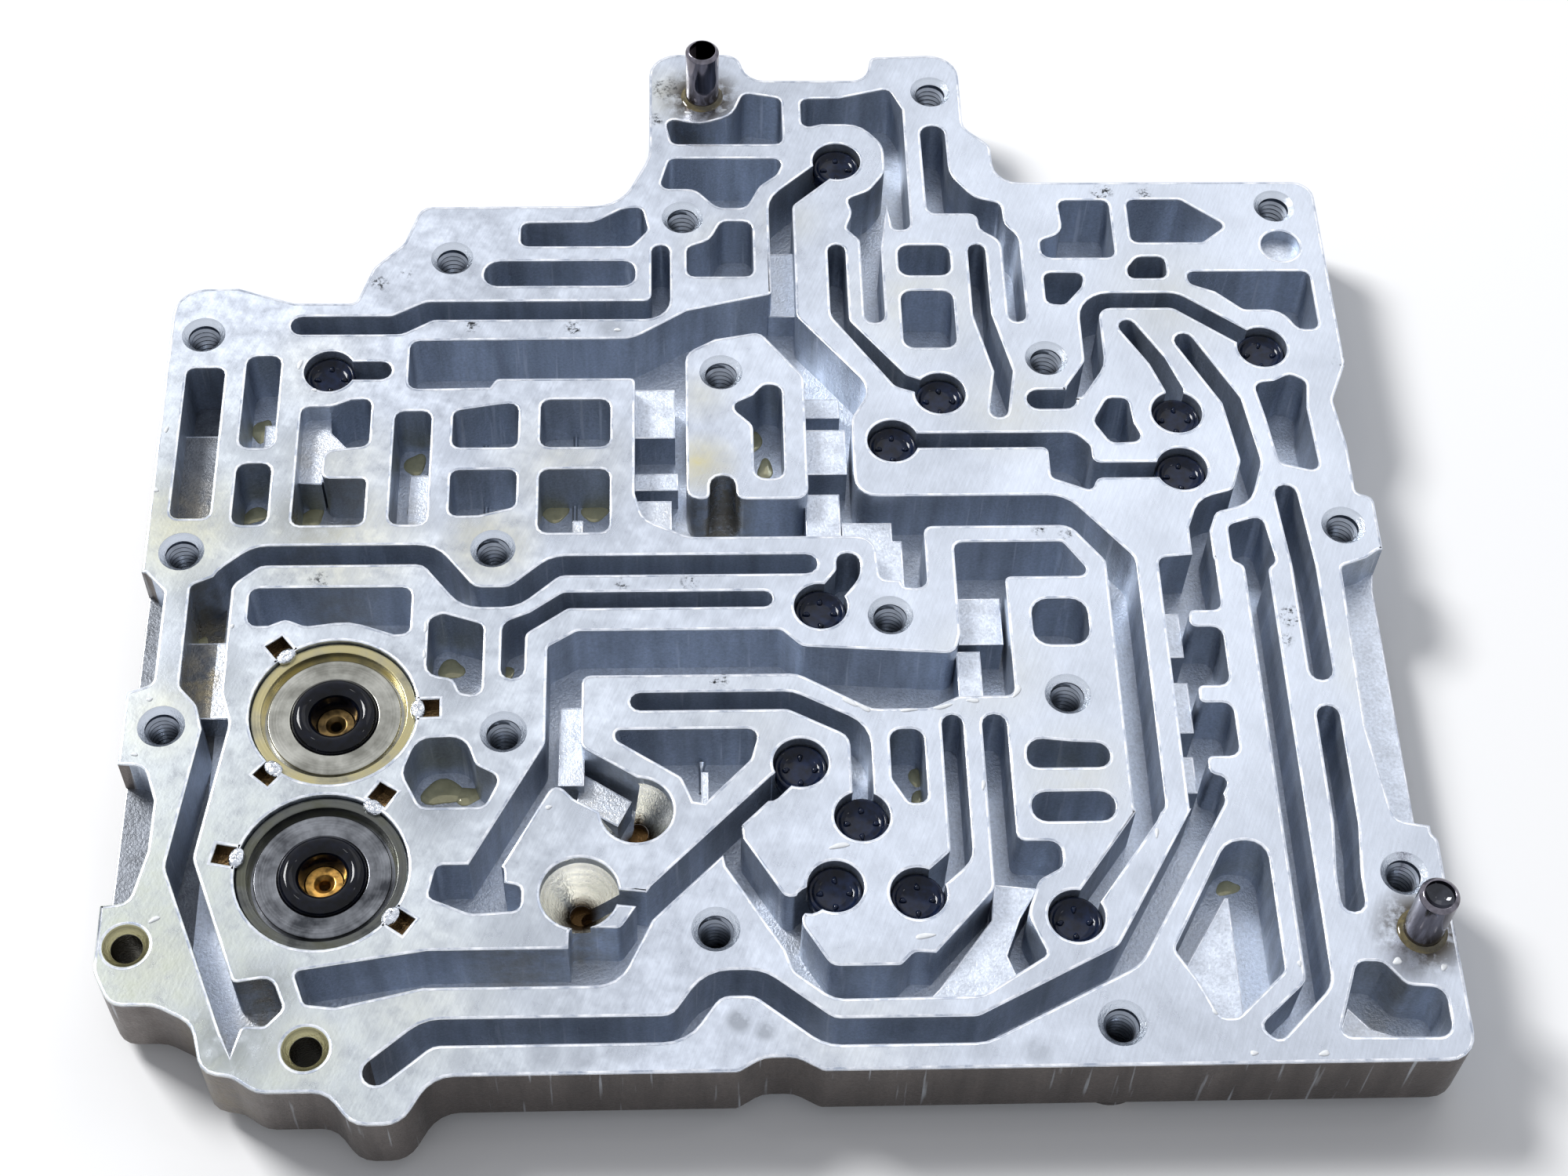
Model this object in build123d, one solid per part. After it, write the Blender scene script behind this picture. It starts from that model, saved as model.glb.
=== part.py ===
from build123d import *
import math
import os

# Transmission valve body: a die-cast channel casting with its check valves, staked dampers and dowel pins.
# Millimetres, +Z up. The machined channel face is up and the bosses stand on z = 0.
# Outlines are dimensioned from the lower left datum of the casting and moved to the middle by CENTRE_X, CENTRE_Y.

# Casting
CENTRE_X = 94.05
CENTRE_Y = 97.8
HEIGHT = 16.0
BODY_DEPTH = 12.5
FLOOR_THICKNESS = 2.0
CORNER_RADIUS = 1.3
SHARP_CORNER = 0.75
FLAT_TURN = 24.0
CHORD_ERROR = 0.06
SAME_POINT = 0.02
TIGHTEST_BEND = 0.5
LEDGE_DROP = 7.0
SHELF_DROP = 3.6
LAND_DROP = 5.6

# Threaded holes and their bosses
THREAD_RADIUS = 2.5
RIM_THREAD_DEPTH = 13.0
THREAD_CHAMFER_RADIUS = 3.4
THREAD_CHAMFER_DEPTH = 0.9
BOSS_RADIUS = 5.2
DIMPLE_RADIUS = 3.2
DIMPLE_DEPTH = 2.2

# Plain through holes
THROUGH_RADIUS = 2.2
THROUGH_CHAMFER_RADIUS = 3.2
THROUGH_CHAMFER_DEPTH = 1.0

# Dowel pins
PIN_RADIUS = 2.8
PIN_SEAT_STEP = 0.2
PIN_EXPOSED = 11.0
PIN_SEATED = 8.0
PIN_BORE_RADIUS = 2.1
PIN_BORE_DEPTH = 7.0
PIN_NOSE = 0.5
PIN_LOBE_LEFT = 8.9
PIN_LOBE_RIGHT = 6.2
PIN_LOBE_BACK = 9.8

# Check valves
CHECK_RADIUS = 3.78
CHECK_CLEARANCE = 0.22
CHECK_THICKNESS = 3.0
CHECK_LIFT = 1.4
CHECK_HEADROOM = 0.2
CHECK_RIM_INNER_RADIUS = 3.3
CHECK_RECESS_RADIUS = 2.9
CHECK_RECESS_DEPTH = 0.7
CHECK_PAD_REACH = 2.1
CHECK_PAD_LENGTH = 1.1
CHECK_PAD_WIDTH = 0.9
CHECK_PAD_HEIGHT = 0.5
CHECK_PAD_TAPER = 30

# Staked dampers
DAMPER_RADIUS = 11.9
DAMPER_CLEARANCE = 0.15
DAMPER_HEIGHT = 9.0
DAMPER_RECESS = 0.7
DAMPER_RIM_INNER_RADIUS = 10.4
DAMPER_GROOVE_INNER_RADIUS = 9.6
DAMPER_GROOVE_DEPTH = 1.8
DAMPER_FACE_DROP = 0.9
DAMPER_BASE = 1.5
SEAL_RADIUS = 6.3
SEAL_MOUTH_RADIUS = 3.2
SEAL_THROAT_RADIUS = 2.7
SEAL_SHOULDER_DROP = 1.3
SEAL_CROWN_STEP = 30
JET_HEIGHT = 4.4
JET_BORE_RADIUS = 0.8
JET_CONE_RADIUS = 1.5
STAKE_SIZE = 3.0
STAKE_DEPTH = 3.2

# Ball seats
SEAT_DEPTH = 8.5
SEAT_WALL = 1.6
SEAT_THROAT_RADIUS = 1.6
SEAT_THROAT_LENGTH = 1.4

POCKET_DEPTH = BODY_DEPTH - FLOOR_THICKNESS
UNDERSIDE = HEIGHT - BODY_DEPTH
CHECK_SEAT_DEPTH = CHECK_THICKNESS + CHECK_LIFT + CHECK_HEADROOM
CHECK_POCKET_RADIUS = CHECK_RADIUS + CHECK_CLEARANCE
DAMPER_BORE_RADIUS = DAMPER_RADIUS + DAMPER_CLEARANCE
PIN_SEAT_RADIUS = PIN_RADIUS + PIN_SEAT_STEP
SKIN = 0.5

RIM_THREADED_HOLES = [
    (5.9, 133.6), (44.3, 149.2), (123.8, 185.7), (179.4, 159.8), (181.7, 95.5), (181.7, 36.1), (139.8, 14.1),
    (6.3, 62.1), (6.3, 92.3),
]
INNER_THREADED_HOLES = [
    (81.5, 157.7), (87.3, 125.6), (138.9, 128.1), (52.6, 92.4), (111.7, 79.9), (55.1, 60.6), (136.9, 66.0),
    (85.1, 28.9),
]
THROUGH_HOLES = [(4.9, 27.6), (30.2, 12.1)]
DIMPLE = (179.3, 151.2)
DOWEL_PINS = {"rear": (85.0, 184.6), "front": (182.8, 27.2)}
CHECK_VALVES = [
    (107.2, 169.9), (26.1, 126.2), (121.6, 121.2), (113.7, 112.0), (158.5, 117.2), (158.1, 106.3), (173.6, 130.1),
    (101.4, 81.6), (97.6, 55.0), (106.0, 46.2), (101.8, 35.2), (113.3, 34.0), (135.0, 30.2),
]
DAMPERS = {"rear": (30.6, 64.3), "front": (30.6, 38.6)}
STAKES = {"rear": [(22.1, 75.2), (44.3, 64.7), (22.0, 54.2)], "front": [(17.0, 41.3), (38.4, 50.6), (41.9, 30.7)]}
BALL_SEATS = [(74.2, 47.6, 5.2), (66.3, 34.7, 5.5)]

# Outer edge of the casting, clockwise from the lobe of the rear dowel pin. A third value is a corner's own radius.
OUTLINE = [
    (DOWEL_PINS["rear"][0] - PIN_LOBE_LEFT, DOWEL_PINS["rear"][1] + PIN_LOBE_BACK, 5),
    (DOWEL_PINS["rear"][0] + PIN_LOBE_RIGHT, DOWEL_PINS["rear"][1] + PIN_LOBE_BACK, 3),
    (92.6, 188.3, 5), (112.9, 188.3, 3), (114.0, 193.7, 1), (128.8, 194.4, 5),
    (128.8, 177.6, 3), (133.1, 173.4, 2), (133.3, 165.1, 5), (186.3, 165.1, 3.5), (186.4, 126.6, 2), (183.4, 119.4, 2),
    (184.4, 110.5, 3), (184.4, 101.5, 1), (187.0, 100.6, 1.5), (187.0, 91.2, 2), (186.5, 88.0, 1), (186.5, 42.2, 1),
    (187.3, 41.4, 1.5), (187.4, 7.9, 4), (99.2, 7.9, 1), (95.6, 9.9, 4), (91.2, 9.9, 4), (87.8, 7.9, 1),
    (47.2, 7.9, 5), (43.4, 1.2, 4), (37.0, 1.2, 4), (33.4, 5.9, 4), (24.2, 5.9, 4), (20.8, 8.2, 3),
    (16.6, 8.9, 3), (14.8, 16.0, 4), (9.6, 18.7, 5), (3.6, 18.7, 3), (0.9, 23.8, 4), (0.8, 33.6, 2),
    (0.8, 89.5, 1), (0.7, 142.9, 6), (10.6, 143.0, 10), (19.6, 139.9, 6), (29.4, 139.8, 1.5), (31.8, 147.2, 2),
    (36.4, 152.2, 2), (38.9, 160.1, 2.5), (71.2, 160.2, 7), (76.1, 171.0, 8),
]

# Stretches of the rim that were left as cast, below the machined face.
LEDGES = [
    [(-2, 56.2), (4.6, 55.6, 2), (6.5, 50.0, 3), (6.4, 42.0, 3), (4.6, 34.0, 2), (-2, 33.4)],
    [(-2, 88.8), (1.4, 88.6, 0.5), (4.5, 85.2, 1), (4.5, 69.2, 1.5), (-2, 66.8)],
    [(190, 91.0), (186.4, 91.0, 1.5), (184.2, 89.4, 2), (180.2, 88.0, 1), (179.8, 60.0, 2), (181.6, 44.6, 2), (190, 42.8)],
]

# Pockets of the full depth, by the region of the face that they lie in.
POCKETS = {
    "top_left": [
        [(55.2, 151.6), (73.2, 151.6), (75.9, 155.0), (74.9, 160.0), (71.8, 159.7, 2), (67.0, 156.7, 4), (55.2, 156.6)],
        [(49.5, 143.3, 2.2), (73.8, 143.3, 2), (73.8, 148.5, 2), (49.5, 148.5, 2.8)],
        [(19.4, 133.5, 1.8), (37.0, 133.5, 3), (41.8, 136.4, 2), (79.4, 136.4, 4), (79.4, 151.8, 1.4),
         (76.4, 151.8, 1.4), (76.4, 140.1), (40.5, 140.1, 3), (35.3, 137.2, 2), (19.4, 137.2, 1.8)],
        [(82.1, 151.3), (82.1, 145.1), (92.9, 145.1), (92.9, 156.8, 1.6), (87.8, 156.9, 1.6), (85.9, 152.8, 3)],
    ],
    "top_middle": [
        [(78.6, 179.8), (84.6, 178.3, 5), (90.0, 180.2, 4), (92.0, 185.5), (98.4, 184.2), (98.4, 173.8), (79.8, 173.8)],
        [(77.6, 163.9), (79.4, 170.6), (98.6, 170.6, 1.5), (97.2, 167.0, 1.5), (94.2, 164.4, 3), (92.0, 159.7, 2),
         (87.2, 159.7, 3), (83.6, 163.9, 3)],
        [(101.6, 184.1), (108.2, 184.2, 6), (116.7, 186.5, 1.4), (118.8, 181.6, 3), (118.8, 154.9), (115.9, 154.9, 1),
         (115.1, 160.0, 0.3), (113.7, 151.0, 5), (113.7, 135.4, 1.5), (110.4, 135.4, 1.5), (110.4, 152.7, 1.5),
         (108.2, 155.2, 1), (109.4, 158.6, 3), (108.6, 161.6, 1), (112.4, 163.4, 3), (115.2, 167.4, 4),
         (115.2, 173.6, 5), (111.4, 178.3, 5), (105.0, 178.3, 3), (101.6, 177.3)],
        [(121.5, 177.9, 2), (125.7, 177.9, 2), (125.8, 167.0, 6), (129.6, 161.8, 4), (134.0, 160.6, 1.5),
         (134.2, 156.0, 3), (136.4, 153.4, 3), (136.4, 135.5, 1.4), (133.5, 135.5, 1.4), (133.5, 152.6, 3),
         (130.0, 155.0, 2), (130.0, 158.4, 1.5), (121.7, 158.4, 1.5)],
        [(105.0, 151.8, 1.4), (107.9, 151.8, 1.4), (107.9, 135.9, 2), (116.4, 124.8, 2), (121.2, 122.8, 0.5),
         (120.6, 120.4, 0.5), (114.6, 122.6, 2), (105.0, 136.9, 3)],
        [(116.4, 145.2, 1.8), (124.9, 145.2, 1.8), (124.9, 151.6, 1.8), (116.4, 151.6, 1.8)],
        [(116.4, 130.3, 1.8), (124.9, 130.3, 1.8), (124.9, 142.0, 1.8), (116.4, 142.0, 1.8)],
    ],
    "top_right": [
        [(143.4, 161.2), (151.9, 161.2), (151.9, 148.8), (139.8, 148.8, 1.7), (139.8, 152.6), (143.8, 154.0, 3)],
        [(154.8, 152.0), (166.6, 152.0, 1), (170.9, 155.6, 1), (163.8, 161.3, 1), (154.8, 161.3)],
        [(153.6, 144.4, 1.6), (160.0, 144.4), (160.0, 149.0), (155.4, 149.0, 1.6), (153.6, 146.6, 1)],
        [(139.8, 145.7), (146.6, 145.6, 1.4), (145.8, 142.6, 1.4), (142.8, 138.9, 1.3), (139.8, 139.2)],
        [(163.0, 145.8, 1.4), (183.3, 145.8), (183.3, 133.7), (180.0, 133.7, 1.6), (177.6, 137.8, 4),
         (171.6, 137.8, 1.5), (167.4, 141.6, 4), (163.4, 143.2, 1.2)],
        [(171.3, 122.9, 1.4), (174.6, 123.3, 2), (177.3, 124.7, 1.4), (179.8, 123.2), (179.1, 118.0, 3), (179.6, 105.5),
         (173.4, 107.3), (172.4, 116.0, 3)],
        [(145.2, 115.6, 1.5), (147.8, 120.2, 1.4), (151.1, 120.0, 1.2), (151.5, 115.2, 2), (152.9, 111.6, 1.3),
         (147.6, 111.3, 1.6)],
        [(113.7, 113.4), (142.2, 113.4, 3), (144.4, 110.8, 1.5), (144.4, 107.6, 1.2), (158.1, 107.6), (158.1, 104.7),
         (144.8, 104.7, 1.2), (143.9, 102.2, 1), (137.7, 104.8, 1), (137.7, 110.6, 1), (113.7, 110.6)],
    ],
    "left": [
        [(3.9, 98.3), (9.9, 98.3), (9.9, 127.0), (3.9, 127.0)],
        [(13.1, 111.4, 1.6), (18.5, 111.4, 1.6), (18.5, 129.3, 1.6), (13.1, 129.3, 1.6)],
        [(13.2, 97.0, 1.6), (18.5, 97.0, 1.6), (18.5, 108.5, 1.6), (13.2, 108.5, 1.6)],
        [(22.2, 96.9), (33.0, 96.9), (33.0, 105.5, 0.8), (26.1, 105.5), (26.1, 110.9, 1.8), (33.0, 111.6),
         (33.0, 120.8), (29.8, 120.6, 1.5), (27.0, 119.3, 2), (22.2, 119.3)],
        [(36.7, 96.9, 1.5), (42.4, 96.9, 1.5), (42.4, 118.3, 1.5), (36.7, 118.3, 1.5)],
        [(45.7, 111.2), (55.8, 111.2), (55.8, 119.9, 1.6), (52.5, 119.5, 3), (45.7, 118.3)],
        [(45.7, 98.4), (50.2, 98.5, 3), (55.8, 100.0), (55.8, 107.0), (45.7, 107.0)],
        [(59.2, 111.2, 1.5), (70.0, 111.2, 1.5), (70.0, 120.4, 1.5), (59.2, 120.4, 1.5)],
        [(59.2, 95.2, 1.5), (70.0, 95.2, 1.5), (70.0, 107.0, 1.5), (59.2, 107.0, 1.5)],
        [(17.0, 85.6), (17.0, 78.9, 1.5), (20.2, 79.0, 1.5), (22.6, 80.1, 1.5), (25.6, 78.8, 1.5), (32.0, 79.7, 8),
         (38.6, 77.3, 2), (40.9, 77.4, 1.2), (40.9, 85.6, 1.5)],
        [(43.6, 80.0), (45.6, 80.9), (51.7, 78.9), (51.7, 66.6), (48.6, 67.2, 1), (47.6, 69.6, 1.5), (43.6, 70.4, 2)],
        [(54.4, 69.5, 1.6), (57.8, 69.5, 1.6), (57.8, 77.2), (64.0, 81.6), (94.3, 81.6), (94.3, 84.4), (63.2, 84.4, 1.5),
         (58.4, 80.9, 2), (54.4, 79.2, 2)],
        [(40.9, 54.0, 3), (42.8, 59.7, 3), (49.6, 59.9, 3), (51.3, 55.2, 1.5), (54.9, 53.2, 1.5), (52.8, 48.4, 1.5),
         (43.8, 48.4, 1.5)],
    ],
    "lower_middle": [
        [(45.4, 34.3, 1), (51.4, 31.7, 2), (58.3, 32.1), (58.3, 35.9, 1), (55.9, 36.4, 0.5), (55.9, 39.3), (46.4, 39.3, 1)],
        [(71.0, 60.7, 1), (91.9, 60.7, 1.4), (90.5, 55.6, 2), (83.8, 48.6, 0.6), (82.2, 48.9, 0.6), (80.6, 52.8, 1.5),
         (71.2, 59.0, 1)],
        [(110.5, 60.4, 1.8), (115.5, 60.4, 1.8), (115.5, 48.2, 1.5), (112.8, 48.2, 1), (110.5, 52.2, 1)],
        [(27.8, 23.4, 0.8), (45.8, 26.2, 12), (64.9, 26.2, 0.6), (65.0, 29.6, 1), (72.0, 29.2, 1), (76.2, 35.6, 1),
         (93.4, 53.0, 0.5), (96.6, 52.6, 0.5), (88.9, 44.9, 0.8), (89.2, 42.6, 0.8), (86.4, 40.4, 1),
         (76.4, 30.4, 2), (71.8, 20.7, 5), (45.4, 20.7, 8), (33.8, 18.0, 4), (29.6, 18.5, 0.8)],
        [(86.2, 40.6, 0.8), (89.1, 44.8, 0.5), (88.8, 43.4), (94.9, 33.4, 1.4), (98.3, 34.4, 0.8), (99.9, 32.0, 0.8),
         (96.9, 31.0), (97.1, 29.2, 1), (100.8, 23.1, 2), (110.3, 23.1, 1), (112.2, 25.1), (115.2, 24.9, 0.6),
         (124.0, 34.6, 2), (124.0, 62.7, 1.7), (127.6, 62.7, 1.7), (127.6, 42.0), (133.9, 41.9, 1.8),
         (133.8, 37.8), (130.2, 35.8, 2), (128.2, 30.6, 3), (130.6, 24.4, 0.8), (121.2, 18.4, 4), (101.0, 18.2, 4),
         (95.6, 22.4, 2), (94.6, 25.6, 1), (86.6, 38.6, 0.8)],
    ],
    "lower_right": [
        [(132.7, 74.5, 2.6), (141.1, 74.5, 2.6), (141.1, 82.6, 2.6), (132.7, 82.6, 2.6)],
        [(130.1, 53.7, 1.6), (142.1, 53.7, 1.8), (142.1, 57.7, 2), (136.6, 58.0, 6), (130.1, 58.8, 2.4)],
        [(130.1, 45.0, 2.2), (142.1, 45.0, 2.2), (142.1, 49.8, 2.2), (130.1, 49.8, 2.2)],
        [(152.6, 89.8), (161.2, 90.6), (161.2, 80.3), (156.2, 80.3, 0.8), (156.1, 77.4, 1), (160.9, 77.4, 1.6),
         (160.9, 67.2, 1.6), (156.1, 67.2, 0.8), (156.1, 64.3, 0.8), (160.9, 64.3, 1.6), (160.9, 55.3, 1.6),
         (156.1, 55.3, 0.8), (156.1, 52.6, 1), (159.0, 51.6, 1.2), (156.4, 46.8, 0.5), (152.6, 46.8, 0.5)],
        [(163.9, 95.7), (169.4, 97.4), (170.5, 88.9), (169.1, 87.6), (169.1, 19.2, 4), (160.9, 10.9), (158.3, 13.2),
         (165.6, 19.8, 2), (165.6, 88.3), (163.9, 89.2, 1)],
        [(148.0, 24.9, 1.2), (157.2, 41.6, 3.5), (162.9, 41.6, 3.5), (162.9, 21.4), (155.6, 14.6), (153.2, 14.6),
         (150.8, 20.2, 3)],
        [(169.0, 11.6), (173.0, 22.8, 1.7), (176.6, 22.6, 1.7), (179.4, 19.0, 2), (184.6, 18.6, 2), (184.6, 11.3, 2)],
    ],
}

# The two wide valleys, with the land that stands in the upper one.
UPPER_VALLEY = [
    (38.4, 132.2, 1.5), (73.4, 132.4, 6), (82.0, 138.0, 5), (95.7, 141.4, 0.8), (95.7, 146.0), (99.5, 146.0),
    (99.5, 136.8, 2), (110.8, 122.2, 4), (107.4, 116.4, 3), (107.4, 101.5, 3.5), (139.6, 101.5, 6), (149.2, 89.8, 3),
    (149.2, 45.8, 2), (144.7, 45.8), (144.7, 89.3, 2), (139.8, 95.9, 3), (117.5, 95.9), (117.5, 84.6, 1.5),
    (113.8, 84.8, 1), (113.6, 86.1, 0.5), (110.4, 86.2), (110.0, 94.2, 3), (82.2, 94.2, 4), (75.0, 97.6, 4),
    (73.8, 102.4, 3), (73.8, 124.5, 0.8), (52.2, 124.5, 0.8), (51.2, 122.8, 0.5), (38.4, 122.6, 1.5),
]
UPPER_ISLAND = [
    (81.7, 129.4, 3), (86.4, 132.2, 6), (93.6, 133.6, 2), (100.3, 124.6, 2), (100.3, 101.1, 2), (89.4, 101.1, 1.4),
    (89.1, 105.6, 1.8), (85.3, 105.6, 1.8), (85.2, 101.1, 1), (81.7, 101.4, 2),
]
ISLAND_SLOT = [
    (89.2, 119.4, 1), (92.2, 121.0, 2), (94.0, 123.3, 1.8), (96.8, 122.8, 1.6), (96.7, 105.0, 1.6), (92.1, 105.0, 1.8),
    (92.1, 115.2, 2), (89.4, 118.0, 1),
]
LOWER_VALLEY = [
    (61.1, 74.9, 0.8), (65.4, 77.6, 1), (95.4, 77.6, 1.5), (98.4, 74.6, 2), (120.9, 73.1, 1.8), (121.9, 76.6, 1),
    (121.9, 92.9), (138.4, 92.9, 1), (142.6, 86.6, 1.2), (129.2, 86.6, 0.9), (129.2, 65.8), (121.0, 65.8, 1),
    (116.8, 63.8, 4), (108.2, 63.8, 4), (97.6, 69.9, 4), (66.2, 69.9), (66.2, 58.0, 1.5), (74.6, 52.6, 0.5),
    (72.6, 45.2, 0.5), (65.2, 49.6, 0.5), (62.6, 52.4, 2), (54.2, 36.6, 0.5), (50.4, 38.4, 0.5), (61.1, 58.6, 3),
]

# Narrow channels: the points of the middle line, the width and the radius of the bends.
CHANNELS = [
    ([(107.2, 169.9), (97.6, 161.0), (97.6, 140.0)], 3.9, 3.5),
    ([(129.3, 151.8), (129.3, 137.0), (131.9, 125.5), (130.4, 116.4)], 2.9, 4.0),
    ([(173.6, 130.1), (160.6, 139.8), (146.5, 139.8), (146.5, 127.0), (142.2, 120.4)], 3.1, 3.6),
    ([(143.0, 119.9), (135.1, 119.9)], 3.8, 1.0),
    ([(151.7, 135.6), (156.5, 127.4), (158.6, 121.6), (158.5, 117.2)], 2.8, 4.0),
    ([(160.5, 132.8), (167.4, 119.4), (169.0, 107.6), (166.8, 101.0), (161.2, 99.4), (159.5, 95.0), (159.4, 86.0)],
     3.1, 3.0),
    ([(26.1, 126.3), (35.8, 126.3)], 3.6, 1.0),
    ([(11.9, 84.0), (13.2, 87.6), (17.6, 91.4), (43.2, 91.4), (49.2, 83.7), (55.9, 83.7), (62.0, 89.2), (101.2, 89.2)],
     3.5, 4.0),
    ([(105.8, 91.1), (105.8, 87.4), (101.4, 81.6)], 3.6, 3.0),
    ([(73.2, 65.4), (96.4, 65.4), (106.3, 60.2), (106.3, 46.2)], 3.0, 4.0),
    ([(119.7, 62.7), (119.7, 39.8), (113.3, 34.0)], 3.1, 2.5),
    ([(147.0, 50.0), (147.0, 46.6), (135.0, 30.2)], 3.2, 3.0),
    ([(156.9, 50.0), (141.8, 24.1), (120.8, 13.45), (100.2, 13.45), (90.8, 20.8), (84.6, 20.8), (80.0, 14.15),
      (46.4, 14.15), (38.4, 7.4)], 3.8, 4.5),
    ([(173.5, 103.1), (174.6, 88.0), (174.6, 67.9)], 3.5, 8.0),
    ([(174.6, 63.6), (174.6, 44.0), (173.8, 36.0), (173.8, 30.2)], 3.4, 8.0),
    ([(101.8, 35.2), (96.4, 32.0)], 4.0, 1.0),
    ([(97.6, 55.0), (92.0, 49.2)], 3.1, 1.0),
    ([(66.3, 34.7), (76.4, 33.4)], 2.3, 1.0),
]

# The tapering channel along the left edge, which joins the loop channel to the corner pocket.
EDGE_CHANNEL = [
    (8.2, 86.2, 1), (14.3, 89.0, 1), (14.3, 67.5, 4), (15.9, 62.5, 4), (12.7, 40.8, 3), (19.8, 21.8, 0.8),
    (25.0, 22.6, 1.8), (26.9, 18.0, 1), (24.6, 15.4, 1), (21.4, 15.6, 1), (20.4, 11.0, 0.5), (18.8, 14.6, 3),
    (9.0, 39.5, 3), (12.1, 61.5, 6), (11.0, 65.6, 3), (8.2, 68.8, 1.5),
]

# Raised floors: box from, box to, drop below the machined face.
LANDS = [
    ((3.6, 97.9), (10.2, 117.8), LAND_DROP),
    ((15.9, 111.0), (18.9, 119.8), LAND_DROP),
    ((15.6, 96.6), (18.9, 100.2), LAND_DROP),
    ((38.9, 96.5), (42.8, 110.0), LAND_DROP),
    ((7.9, 66.5), (14.6, 79.6), LAND_DROP),
    ((64.2, 94.8), (65.8, 101.2), LAND_DROP),
    ((64.2, 110.8), (65.8, 114.0), LAND_DROP),
    ((50.3, 98.0), (52.2, 100.9), LAND_DROP),
    ((50.3, 110.8), (52.2, 112.7), LAND_DROP),
    ((73.4, 115.4), (80.0, 124.9), SHELF_DROP),
    ((73.4, 106.8), (80.4, 110.0), LAND_DROP),
    ((73.4, 95.6), (79.4, 103.4), SHELF_DROP),
    ((83.0, 93.9), (86.2, 96.2), SHELF_DROP),
    ((94.2, 93.9), (97.4, 96.2), SHELF_DROP),
    ((99.9, 120.6), (106.0, 124.4), LAND_DROP),
    ((99.9, 108.2), (106.6, 116.8), SHELF_DROP),
    ((99.9, 96.0), (105.2, 104.4), SHELF_DROP),
    ((105.4, 93.0), (113.0, 99.0), SHELF_DROP),
    ((110.0, 85.8), (114.4, 95.6), SHELF_DROP),
    ((95.3, 141.2), (99.9, 154.6), LAND_DROP),
    ((121.5, 76.8), (128.6, 85.0), SHELF_DROP),
    ((121.4, 65.4), (125.0, 75.6), SHELF_DROP),
    ((62.9, 53.6), (66.6, 66.6), SHELF_DROP),
    ((86.6, 144.7), (88.2, 147.4), LAND_DROP),
    ((152.2, 74.2), (155.4, 82.0), SHELF_DROP),
    ((152.2, 61.2), (155.4, 69.8), SHELF_DROP),
    ((152.2, 51.2), (154.8, 57.2), SHELF_DROP),
    ((83.4, 48.3), (84.4, 55.6), SHELF_DROP),
    ((110.8, 63.2), (112.0, 67.0), LAND_DROP),
    ((142.6, 148.4), (146.8, 150.8), LAND_DROP),
]
SHELVES = [
    ([(21.9, 107.2), (25.7, 107.0), (26.4, 110.9), (31.4, 111.2), (26.6, 116.8), (26.4, 119.6), (21.9, 119.6)], SHELF_DROP),
    ([(149.2, 22.6), (156.6, 34.4), (157.2, 34.4), (157.2, 14.2), (152.4, 14.2)], SHELF_DROP),
    ([(112.6, 17.9), (121.4, 18.0), (127.0, 21.4), (125.4, 26.0), (127.6, 31.6), (130.4, 36.2), (124.3, 37.0),
      (123.6, 31.4), (115.8, 21.2)], SHELF_DROP),
    ([(168.8, 11.0), (171.6, 17.4), (174.4, 14.2), (179.4, 12.4), (179.0, 10.9)], SHELF_DROP),
    ([(66.4, 56.6), (73.4, 52.0), (71.4, 48.0), (65.4, 51.6)], LAND_DROP),
]


def place(x, y):
    """Move a point from the datum of the outlines to the frame of the part."""
    return Vector(x - CENTRE_X, y - CENTRE_Y)


def rounded(points, default=CORNER_RADIUS):
    """Face inside a polygon with rounded corners, but for the corners that are cast sharp or nearly flat.

    A corner's arc takes at most half of each side beside it, and is cut as chords that stay within CHORD_ERROR.
    """
    corners = [place(point[0], point[1]) for point in points]
    radii = [point[2] if len(point) > 2 else default for point in points]
    edge = []
    for index, here in enumerate(corners):
        to_last = corners[index - 1] - here
        to_next = corners[(index + 1) % len(corners)] - here
        angle = to_last.get_angle(to_next)
        if radii[index] < SHARP_CORNER or 180 - angle < FLAT_TURN:
            edge.append(here)
            continue
        half = math.radians(angle) / 2
        reach = min(radii[index] / math.tan(half), to_last.length / 2, to_next.length / 2)
        radius = reach * math.tan(half)
        inward = (to_last.normalized() + to_next.normalized()).normalized()
        centre = here + inward * (radius / math.sin(half))
        spoke = here + to_last.normalized() * reach - centre
        sweep = math.copysign(180 - angle, to_next.cross(to_last).Z)
        chords = math.ceil(abs(math.radians(sweep)) / math.acos(1 - CHORD_ERROR / radius) / 2)
        edge += [centre + spoke.rotate(Axis.Z, sweep * step / chords) for step in range(chords + 1)]
    apart = [here for here, after in zip(edge, edge[1:] + edge[:1]) if (after - here).length > SAME_POINT]
    return make_face(Polyline(*apart, close=True))


def channel(points, width, bend):
    """Face of a channel of one width along a middle line, with round ends and tangent bends."""
    path = [Vector(x, y) for x, y in points]
    steps = [(b - a).normalized() for a, b in zip(path, path[1:])]
    left = []
    right = []
    for index, point in enumerate(path):
        before = steps[max(index - 1, 0)]
        after = steps[min(index, len(steps) - 1)]
        across = Vector(-(before.Y + after.Y), before.X + after.X).normalized()
        offset = across * (width / 2 / across.dot(Vector(-after.Y, after.X)))
        turn = before.cross(after).Z
        end = index in (0, len(path) - 1)
        inner = max(bend - width / 2, TIGHTEST_BEND)
        outer = bend + width / 2
        left_point = point + offset
        right_point = point - offset
        left.append((left_point.X, left_point.Y, width / 2 if end else (inner if turn > 0 else outer)))
        right.append((right_point.X, right_point.Y, width / 2 if end else (outer if turn > 0 else inner)))
    return rounded(left + right[::-1])


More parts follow.
